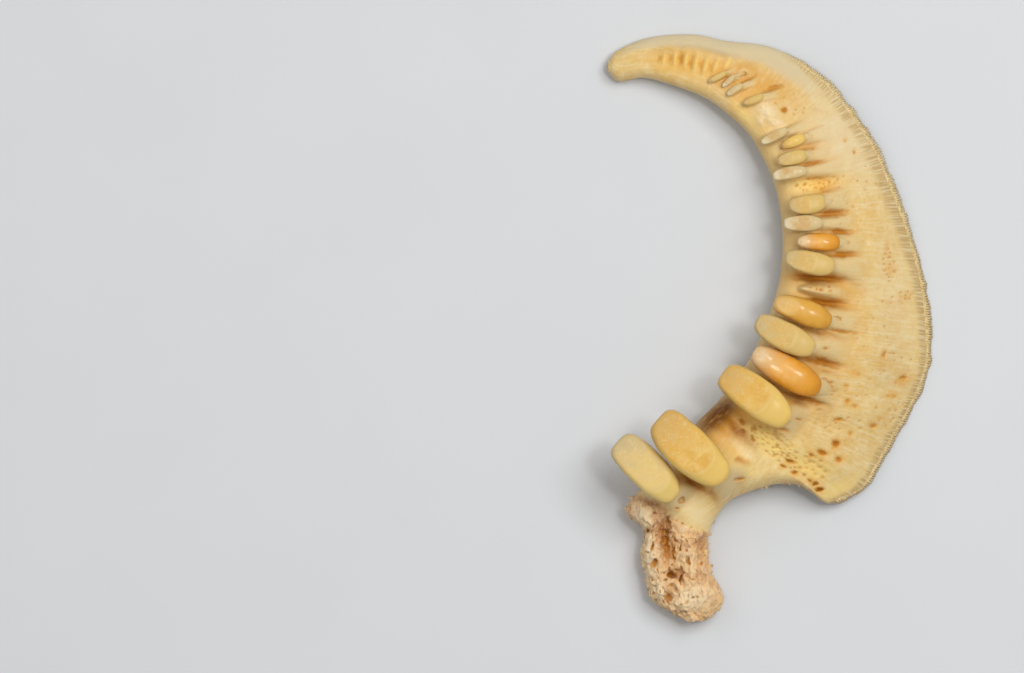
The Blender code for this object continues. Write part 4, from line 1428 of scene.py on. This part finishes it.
    def roughen_foot(
        self, points: np.ndarray, lift: np.ndarray, upper: np.ndarray, inland: np.ndarray
    ) -> np.ndarray:
        """Breaks up the foot into strands, hollows and a ragged outline, and colours it by its relief.

        Args:
            points: The smooth surface.
            lift: How far each vertex has been raised so far.
            upper: 1 on the upper surface.
            inland: 0 at the edges and 1 away from them; not used.

        Returns:
            The finished surface.
        """
        foot = self.masks["foot"]
        self.raise_zones("chalk", FOOT_WHITE, points, foot * upper)
        self.raise_zones("furrow", FOOT_BROWN, points, foot * upper)
        warp = np.stack([noise(points, 1.3, 60 + k) for k in range(3)], axis=1)
        grain = (points + 0.22 * warp) * (1.0, 0.22, 1.0)
        strands = ridged(grain, 0.34, 81, 2)
        lumps = layered(points + 0.3 * warp, 1.0, 95, 3)
        relief = 0.25 * (strands - 0.68) + 0.15 * lumps
        ragged = np.stack([layered(points, 0.7, 61 + 7 * k, 3) for k in range(3)], axis=1)
        lift = lift + relief * foot * upper
        for hole in FOOT_HOLES:
            lift = lift - self.sink(hole, points, upper * foot)
        self.raise_mask("furrow", 0.55 * foot * smoothstep(-0.02, -0.12, relief))
        self.raise_mask("chalk", 0.40 * foot * smoothstep(0.04, 0.13, relief))
        rough = points + ragged * (0.18, 0.20, 0.06) * foot[:, None]
        rough[:, 2] += lift
        return rough

    def lost_tooth_cone(self, points: np.ndarray) -> np.ndarray:
        """The pointed cone of bone that is left where a tooth was shed, growing wider towards the blade.

        Args:
            points: The surface.

        Returns:
            The height to add at each point.
        """
        tip, end = np.array(CONE_TIP), np.array(CONE_END)
        reach = np.linalg.norm(end - tip)
        way = (end - tip) / reach
        offset = points[:, :2] - tip
        share = np.clip(offset @ way / reach, 0, 1)
        aside = offset @ (-way[1], way[0])
        half = CONE_HALF_WIDTH * (0.12 + 0.88 * smoothstep(-0.25, 0.6, share))
        height = CONE_HEIGHT * smoothstep(-0.02, 0.1, share) * (1 - smoothstep(0.45, 1.0, share))
        ridge = height * np.exp(-np.abs(aside / half) ** 3) * (offset @ way > -0.05)
        clear = 1 - 0.85 * smoothstep(0.15, 0.7, ridge / CONE_HEIGHT)
        for name in ("pit", "brown_and_shade", "stain"):
            self.masks[name] *= clear
        self.raise_mask("root_tone", 0.6 * (1 - clear))
        return ridge

    def root_ridge(self, points: np.ndarray, tooth: Tooth) -> np.ndarray:
        """The buttress by which a root runs out along the bone, high under the crown and then falling.

        Args:
            points: The surface.
            tooth: Whose root it is.

        Returns:
            The height to add at each point.
        """
        start, crown_end, tail_end = tooth.root_ends
        way = (tail_end - start) / np.linalg.norm(tail_end - start)
        offset = points[:, :2] - start
        along = offset @ way
        aside = offset @ (-way[1], way[0])
        to_crown_end = (crown_end - start) @ way
        full = np.linalg.norm(tail_end - start)
        falling = np.clip((along - to_crown_end * 0.86) / (full * 1.05 - to_crown_end * 0.86), 0, 1)
        height = (1 - falling) ** 1.5 * (1 + 0.8 * falling) * smoothstep(-0.35, 0.35, along)
        height = height * (along < full * 1.05)
        half = tooth.width * (0.44 + 0.16 * falling)
        ridge = np.exp(-np.abs(aside / half) ** 3.2)
        beyond = smoothstep(0.0, 0.12, falling) * (1 - smoothstep(0.55, 1.0, falling))
        crease_stain_and_shade = np.exp(-(((np.abs(aside) - 1.1 * half) / (0.16 * half)) ** 2))
        pale = 1.0 if tooth.shade is Shade.PEARL else 0.75
        self.masks["stain"] *= 1 - 0.85 * ridge * beyond
        self.raise_mask("root_tone", pale * ridge * beyond)
        # A darker line along the ridge's foot: stain with painted shade in the crease.
        self.raise_mask("stain", 1.0 * crease_stain_and_shade * beyond * (1 - falling))
        self.raise_mask("furrow", 0.45 * crease_stain_and_shade * beyond * (1 - falling))
        return 0.92 * tooth.gap(self.ground) * height * ridge


@dataclass
class ToothPiece:
    """A tooth: an enameloid crown and the bony root that carries it."""

    tooth: Tooth
    ground: GroundFinder
    crown_rings: int = 52
    crown_sides: int = 44
    root_rises: int = 20
    root_sides: int = 40
    heel: float = 1.7
    facet_sharpness: float = 15.0
    root_sunk: float = 0.25

    def crown(self, material: bpy.types.Material) -> bpy.types.Object:
        """Makes the crown: blunt at its inner end, domed at its outer one, with a worn facet.

        Args:
            material: Its enameloid.

        Returns:
            The crown.
        """
        tooth = self.tooth
        theta = np.linspace(0, math.pi, self.crown_rings + 2)[1:-1]
        phi = np.linspace(0, math.tau, self.crown_sides, endpoint=False)
        along = np.concatenate([np.repeat(np.cos(theta), self.crown_sides), [1.0, -1.0]])
        girth = np.concatenate([np.repeat(np.sin(theta), self.crown_sides), [0.0, 0.0]])
        round_phi = np.concatenate([np.tile(phi, self.crown_rings), [0.0, 0.0]])
        bluntness = tooth.inner_end + (tooth.outer_end - tooth.inner_end) * smoothstep(-0.7, 0.7, along)
        fuller = np.power(girth, bluntness)
        square = 0.78 if tooth.wear > 0 else 1.0
        cosine, sine = np.cos(round_phi), np.sin(round_phi)
        aside = np.sign(cosine) * np.abs(cosine) ** square * fuller
        up = np.sign(sine) * np.abs(sine) ** square * fuller
        narrow = 1 - (1 - tooth.inner_width) * (1 - along) / 2
        limit = 0.66 + 0.10 * along
        full_height = 1 - smoothstep(tooth.wear - 0.35, tooth.wear + 0.12, along + 0.12 * aside**2)
        droop = 1 - (0.10 if tooth.wear > 0 else 0.42) * np.clip((along + 0.3) / 1.3, -1, 1) ** 2
        up = np.where(up > 0, up * (limit + (1 - limit) * full_height) * droop, up)
        sharpness = self.facet_sharpness
        worn_up = -np.log(np.exp(-sharpness * up) + np.exp(-sharpness * limit)) / sharpness
        worn = smoothstep(-0.10, 0.06, up - limit) * smoothstep(0.02, 0.55, full_height)
        undercut = 1 - 0.30 * np.clip(-up, 0, 1) ** 1.5
        half_width = aside * narrow * undercut * tooth.width * 0.52
        points = np.stack([along * tooth.length / 2, half_width, worn_up * tooth.depth / 2], axis=1)
        seed = tooth.number
        wobble = np.stack([noise(points, 1.6, 200 + 3 * seed + k) for k in range(3)], axis=1)
        points += wobble * (0.06, 0.05, 0.03)
        points[:, 1] += 0.05 * tooth.width * (1 - along**2) * math.sin(seed * 2.4)
        chips = np.clip(layered(points, 0.5, 300 + seed) - 0.3, 0, 1)
        points[:, 2] -= 0.12 * chips * smoothstep(-0.3, -0.9, along) * smoothstep(0, 0.6, up)
        x = tooth.x + points[:, 0] * tooth.axis[0] - points[:, 1] * tooth.axis[1]
        y = tooth.y + points[:, 0] * tooth.axis[1] + points[:, 1] * tooth.axis[0]
        placed = np.stack([x, y, points[:, 2] + tooth.level(self.ground)], axis=1)
        faces = outward(placed, ring_faces(self.crown_rings, self.crown_sides))
        attributes = {"along": (along + 1) / 2, "height": np.clip(0.5 + 0.7 * up, 0, 1), "worn": worn}
        return mesh_piece(tooth.name + "_crown", placed, faces, material, attributes)

    def root(self, material: bpy.types.Material) -> bpy.types.Object:
        """Makes the root: a plate that leans in under the crown and spreads where it meets the bone.

        Args:
            material: The bone's.

        Returns:
            The root.
        """
        tooth = self.tooth
        level = tooth.level(self.ground)
        neck = (
            tooth.middle - tooth.axis * tooth.length * 0.36,
            tooth.middle + tooth.axis * tooth.length * 0.41,
        )
        foot_start, crown_end, tail_end = tooth.root_ends
        foot_end = crown_end + (tail_end - crown_end) * min(1.0, self.heel / tooth.tail)
        angles = np.linspace(0, math.tau, self.root_sides, endpoint=False)
        cosine, sine = np.cos(angles), np.sin(angles)
        long_way = np.sign(cosine) * np.abs(cosine) ** 0.8
        side_way = np.sign(sine) * np.abs(sine) ** 0.8
        rings = []
        for rise in np.linspace(0.0, 1.0, self.root_rises):
            spread = (1 - rise) ** 1.4
            start = neck[0] + (foot_start - neck[0]) * spread
            end = neck[1] + (foot_end - neck[1]) * spread
            middle, half = (start + end) / 2, (end - start) / 2
            aside = np.array((-half[1], half[0])) / np.linalg.norm(half) * tooth.width
            half_width = 0.42 + 0.06 * spread**2 - 0.05 * math.sin(math.pi * rise)
            plan = middle + np.outer(long_way, half) + np.outer(side_way, aside * half_width)
            base = np.array([self.ground.height(x, y) for x, y in plan]) - self.root_sunk
            rings.append(np.column_stack([plan, base * (1 - rise) + level * rise]))
        points = np.concatenate(rings)
        rise = np.concatenate([np.repeat(np.linspace(0, 1, self.root_rises), self.root_sides), [0.0, 1.0]])
        seed = tooth.number
        shake = layered(points * (1, 1, 0.35), 0.5, 500 + seed)
        centre = np.repeat([ring.mean(axis=0) for ring in rings], self.root_sides, axis=0)
        spoke = points[:, :2] - centre[:, :2]
        spoke /= np.maximum(np.linalg.norm(spoke, axis=1), 1e-6)[:, None]
        points[:, :2] += spoke * (0.04 * shake)[:, None]
        points = np.concatenate([points, [rings[0].mean(axis=0)], [rings[-1].mean(axis=0)]])
        # Stain and deep brown rise towards the root's base, under the crown: painted shade with stain.
        low = smoothstep(0.6, 0.1, rise)
        attributes = {
            "fibre": points[:, [0, 2, 1]],
            "horn_rim": 0.4 * smoothstep(0.3, 0.7, rise),
            "root_tone": np.full(len(points), 0.6),
            "stain": 0.05 + 0.4 * low * (1 - smoothstep(0.0, 0.25, rise)) + 0.15 * low,
            "brown_and_shade": 0.12 * low,
        }
        faces = outward(points, ring_faces(self.root_rises, self.root_sides))
        return mesh_piece(tooth.name + "_root", points, faces, material, attributes)


@dataclass
class Fringe:
    """A row of thin bone plates or splinters that stick out from an edge, placed by Geometry Nodes."""

    name: str
    starts: np.ndarray
    ends: np.ndarray
    pitch: float
    half_width: float
    half_thickness: float
    shortest: float
    longest: float
    stray: float
    seed: int

    def build(self, material: bpy.types.Material) -> bpy.types.Object:
        """Places the plates and makes them a plain mesh.

        Args:
            material: Their finish.

        Returns:
            The fringe.
        """
        path = bpy.data.meshes.new(self.name + "_path")
        edges = [(k, k + 1) for k in range(len(self.starts) - 1)]
        path.from_pydata((self.starts * MILLIMETRE).tolist(), edges, [])
        reach = (self.ends - self.starts) * MILLIMETRE
        layer = path.attributes.new("reach", "FLOAT_VECTOR", "POINT")
        layer.data.foreach_set("vector", reach.astype(np.float32).ravel())
        carrier = bpy.data.objects.new(self.name + "_path", path)
        bpy.context.scene.collection.objects.link(carrier)
        tree, sockets = self.tree()
        modifier = carrier.modifiers.new("plates", "NODES")
        modifier.node_group = tree
        values = {
            "Pitch": self.pitch * MILLIMETRE, "Half Width": self.half_width * MILLIMETRE,
            "Half Thickness": self.half_thickness * MILLIMETRE, "Shortest": self.shortest,
            "Longest": self.longest, "Least Stray": (-self.stray,) * 3, "Most Stray": (self.stray,) * 3,
            "Seed": self.seed, "Material": material,
        }
        for label, value in values.items():
            modifier[sockets[label]] = value
        bpy.context.view_layer.update()
        evaluated = carrier.evaluated_get(bpy.context.evaluated_depsgraph_get())
        mesh = bpy.data.meshes.new_from_object(evaluated)
        bpy.data.objects.remove(carrier)
        mesh.name = self.name
        fringe = bpy.data.objects.new(self.name, mesh)
        bpy.context.scene.collection.objects.link(fringe)
        return fringe

    def tree(self) -> tuple[bpy.types.NodeTree, dict[str, str]]:
        """Builds the node tree: even steps along the edge, and a flat spike on each, turned outwards.

        Returns:
            The tree, and the identifier of each of its inputs.
        """
        tree = bpy.data.node_groups.new(self.name + "_plates", "GeometryNodeTree")
        kinds = {
            "Geometry": "Geometry", "Pitch": "Float", "Half Width": "Float", "Half Thickness": "Float",
            "Shortest": "Float", "Longest": "Float", "Least Stray": "Vector", "Most Stray": "Vector",
            "Seed": "Int", "Material": "Material",
        }
        sockets = {}
        for label, kind in kinds.items():
            socket = tree.interface.new_socket(label, in_out="INPUT", socket_type="NodeSocket" + kind)
            sockets[label] = socket.identifier
        tree.interface.new_socket("Geometry", in_out="OUTPUT", socket_type="NodeSocketGeometry")
        given = add_node(tree, "NodeGroupInput").outputs
        curve = add_node(tree, "GeometryNodeMeshToCurve", {"Mesh": given["Geometry"]}).outputs[0]
        steps = add_node(
            tree, "GeometryNodeResampleCurve", {"Curve": curve, "Length": given["Pitch"]}, mode="LENGTH"
        ).outputs[0]
        reach = add_node(
            tree, "GeometryNodeInputNamedAttribute", {"Name": "reach"}, data_type="FLOAT_VECTOR"
        ).outputs["Attribute"]
        tangent = add_node(tree, "GeometryNodeInputTangent").outputs[0]
        jitter = add_node(
            tree, "FunctionNodeRandomValue",
            {0: given["Least Stray"], 1: given["Most Stray"], "Seed": given["Seed"]},
            data_type="FLOAT_VECTOR",
        ).outputs[0]
        length = add_node(tree, "ShaderNodeVectorMath", {0: reach}, operation="LENGTH").outputs["Value"]
        stray = add_node(
            tree, "ShaderNodeVectorMath", {0: jitter, "Scale": length}, operation="SCALE"
        ).outputs[0]
        way = add_node(tree, "ShaderNodeVectorMath", {0: reach, 1: stray}, operation="ADD").outputs[0]
        turned = add_node(tree, "FunctionNodeAlignRotationToVector", {"Vector": way}, axis="Z").outputs[0]
        turned = add_node(
            tree, "FunctionNodeAlignRotationToVector", {"Rotation": turned, "Vector": tangent},
            axis="X", pivot_axis="Z",
        ).outputs[0]
        share = add_node(
            tree, "FunctionNodeRandomValue",
            {2: given["Shortest"], 3: given["Longest"], "Seed": given["Seed"]}, data_type="FLOAT",
        ).outputs[1]
        long = add_node(tree, "ShaderNodeMath", {0: length, 1: share}, operation="MULTIPLY").outputs[0]
        size = add_node(
            tree, "ShaderNodeCombineXYZ",
            {"X": given["Half Width"], "Y": given["Half Thickness"], "Z": long},
        ).outputs[0]
        spike = add_node(
            tree, "GeometryNodeMeshCone",
            {"Vertices": 8, "Side Segments": 2, "Radius Top": 0.5, "Radius Bottom": 1.0, "Depth": 1.0},
        ).outputs["Mesh"]
        placed = add_node(
            tree, "GeometryNodeInstanceOnPoints",
            {"Points": steps, "Instance": spike, "Rotation": turned, "Scale": size},
        ).outputs[0]
        whole = add_node(tree, "GeometryNodeRealizeInstances", {"Geometry": placed}).outputs[0]
        smooth = add_node(tree, "GeometryNodeSetShadeSmooth", {"Geometry": whole}).outputs[0]
        dressed = add_node(
            tree, "GeometryNodeSetMaterial", {"Geometry": smooth, "Material": given["Material"]}
        ).outputs[0]
        add_node(tree, "NodeGroupOutput", {"Geometry": dressed})
        return tree, sockets


@dataclass
class RimFringes:
    """The serrated rim of the blade and the torn edges of the neck and foot."""

    chart: Chart
    samples: int = 400
    clearance: float = 0.11

    def rim(self, inset: float, reach: float, lift: float, seed: int, name: str) -> Fringe:
        """Lays a row of plates along the blade's rim.

        Args:
            inset: How far in from the edge the plates start.
            reach: How far out past the edge they end.
            lift: How high they end over the edge's middle.
            seed: Picks their lengths.
            name: The piece's name.

        Returns:
            The row.
        """
        stations = np.linspace(5.3, 18.7, self.samples)
        dense = np.linspace(0, 1, 200)
        top, under = self.chart.surface(stations, dense)
        edge = (top[:, -1] + under[:, -1]) / 2
        distance = np.linalg.norm(top[:, :, :2] - edge[:, None, :2], axis=2)
        start = top[np.arange(self.samples), np.abs(distance - inset).argmin(axis=1)].copy()
        start[:, 2] = np.maximum(start[:, 2] - 0.10, self.clearance)
        way = edge[:, :2] - start[:, :2]
        way /= np.linalg.norm(way, axis=1)[:, None]
        fade = smoothstep(5.3, 6.4, stations) * smoothstep(18.7, 18.2, stations)
        steps = 0.72 + 0.28 * np.tanh(4 * noise(edge, 1.6, 33)) - 0.35 * smoothstep(14.5, 16.0, stations)
        out = (reach * fade * steps)[:, None]
        end = np.column_stack([edge[:, :2] + way * out, np.maximum(edge[:, 2] + lift, self.clearance)])
        return Fringe(name, start, end, 0.23, 0.15, 0.09, 0.93, 1.03, 0.02, seed)

    def torn(self, first: float, last: float, side: float, reach: float, seed: int, name: str) -> Fringe:
        """Lays splinters along an edge.

        Args:
            first: The station where they begin.
            last: The station where they end.
            side: The share of the width at which they stand, 0 or 1.
            reach: How far out they stick.
            seed: Picks their lengths.
            name: The piece's name.

        Returns:
            The row.
        """
        stations = np.linspace(first, last, self.samples)
        top, under = self.chart.surface(stations, np.array([side, 0.12 + 0.76 * side]))
        edge = (top[:, 0] + under[:, 0]) / 2
        inside = (top[:, 1] + under[:, 1]) / 2
        way = edge - inside
        way /= np.linalg.norm(way, axis=1)[:, None]
        drift = layered(edge, 0.8, seed) * 0.3
        start = edge - way * 0.5
        start[:, 2] += 0.5 * drift
        return Fringe(name, start, edge + way * reach, 0.55, 0.22, 0.12, 0.2, 1.0, 0.30, seed)


@dataclass(frozen=True)
class Studio:
    """The plain floor, the soft lights and the camera over the bone."""

    pixels_per_mm: float = 10.95
    picture_width: int = 1024
    picture_centre: tuple[float, float] = (-23.67, -0.80)
    focal_mm: float = 300.0
    sensor_mm: float = 36.0
    tooth_plane: float = 5.0
    floor_half_side: float = 1500.0
    floor_drop: float = 0.02

    def floor(self) -> bpy.types.Object:
        """Makes the pale floor that the bone rests on.

        Returns:
            The floor.
        """
        material, shader, place = start_material("matt_painted_board")
        tree = material.node_tree
        unevenness = add_node(
            tree, "ShaderNodeTexNoise", {"Vector": place, "Scale": per_metre(14.0), "Detail": 3.0}
        ).outputs["Fac"]
        _, shade = lay_coat(tree, linear("D3D6D9"), "D8DADC", unevenness)
        fill_inputs(tree, shader, {"Base Color": shade, "Roughness": 0.85})
        half = self.floor_half_side
        signs = ((-1, -1), (1, -1), (1, 1), (-1, 1))
        corners = np.array([(x * half, y * half, -self.floor_drop) for x, y in signs])
        return mesh_piece("floor", corners, [(0, 1, 2, 3)], material, {})

    def light(
        self,
        name: str,
        azimuth: float,
        height: float,
        distance: float,
        size: float,
        watts: float,
        glint: bool = False,
    ) -> None:
        """Adds a soft box that faces the bone.

        Args:
            name: The light's name.
            azimuth: Degrees from +X, anticlockwise from above.
            height: Degrees over the floor.
            distance: Metres from the bone.
            size: Side of the box in metres.
            watts: Its power.
            glint: Whether it shows as a highlight on gloss.
        """
        data = bpy.data.lights.new(name, "AREA")
        data.shape, data.size, data.energy = "SQUARE", size, watts
        lamp = bpy.data.objects.new(name, data)
        turn, tilt = math.radians(azimuth), math.radians(height)
        way = Vector((math.cos(turn) * math.cos(tilt), math.sin(turn) * math.cos(tilt), math.sin(tilt)))
        lamp.visible_glossy = glint
        lamp.location = way * distance
        lamp.rotation_euler = way.to_track_quat("Z", "Y").to_euler()
        bpy.context.scene.collection.objects.link(lamp)

    def lights(self) -> None:
        """Adds the key light, two small ones for the gloss, a fill and the room's light."""
        self.light("key_softbox", 42, 66, 0.5, 0.26, 1.5)
        self.light("gloss_softbox_right", 20, 76, 0.5, 0.05, 0.26, True)
        self.light("gloss_softbox_left", 195, 82, 0.5, 0.04, 0.20, True)
        self.light("fill_softbox", 150, 55, 0.6, 0.40, 0.50)
        world = bpy.data.worlds.new("studio_room")
        world.use_nodes = True
        background = world.node_tree.nodes["Background"]
        background.inputs["Color"].default_value = linear("F8F6F3")
        background.inputs["Strength"].default_value = 0.26
        bpy.context.scene.world = world
        bpy.context.scene.view_settings.view_transform = "Standard"

    def camera(self) -> None:
        """Hangs the camera straight over the middle of the picture."""
        width = self.picture_width / self.pixels_per_mm
        distance = width / self.sensor_mm * self.focal_mm
        data = bpy.data.cameras.new("overhead_camera")
        data.lens, data.sensor_width, data.clip_end = self.focal_mm, self.sensor_mm, 20.0
        camera = bpy.data.objects.new("overhead_camera", data)
        x, y = self.picture_centre
        camera.location = Vector((x, y, self.tooth_plane + distance)) * MILLIMETRE
        bpy.context.scene.collection.objects.link(camera)
        bpy.context.scene.camera = camera


def add_piece(piece: bpy.types.Object) -> None:
    """Makes a piece ride on the bone's body and reports it.

    Args:
        piece: The finished piece.
    """
    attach(piece, BODY)
    LOG.info("%s: %d faces", piece.name, len(piece.data.polygons))


def main() -> None:
    """Builds the dressed bone piece by piece."""
    logging.basicConfig(level=logging.INFO, format="%(message)s")
    studio = Studio()
    studio.camera()
    studio.lights()
    studio.floor()

    chart = Chart()
    ground = GroundFinder(chart)
    bone = BoneMaterial(BoneFinish()).material
    enamel = {
        shade: EnamelMaterial(shade.value + "_enameloid", finish).material
        for shade, finish in ENAMEL.items()
    }

    skin = BoneSkin(chart, ground, bone).build()
    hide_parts(HORN, BLADE, FOOT)
    add_piece(skin)
    for tooth in TEETH:
        piece = ToothPiece(tooth, ground)
        add_piece(piece.crown(enamel[tooth.shade]))
        add_piece(piece.root(bone))

    plates = PlateFinish("bare_rim_lamellae", "E8D29E", "C8A86C").build()
    splinters = PlateFinish("torn_bone_splinters", "F0DCB4", "C49A66").build()
    fringes = RimFringes(chart)
    for fringe, finish, slot in (
        (fringes.rim(0.42, 0.33, 0.05, 1, "rim_plates"), plates, "bone"),
        (fringes.rim(0.34, 0.22, -0.04, 2, "rim_plates_under"), plates, "bone"),
        (fringes.torn(20.5, 25.5, 1.0, 0.16, 3, "neck_splinters"), splinters, "bone"),
        (fringes.torn(25.5, 32.5, 1.0, 0.32, 4, "foot_splinters"), splinters, "spongy_bone"),
        (fringes.torn(26.0, 32.5, 0.0, 0.40, 5, "foot_inner_splinters"), splinters, "spongy_bone"),
    ):
        add_piece(fringe.build(finish))


if __name__ == "__main__":
    main()
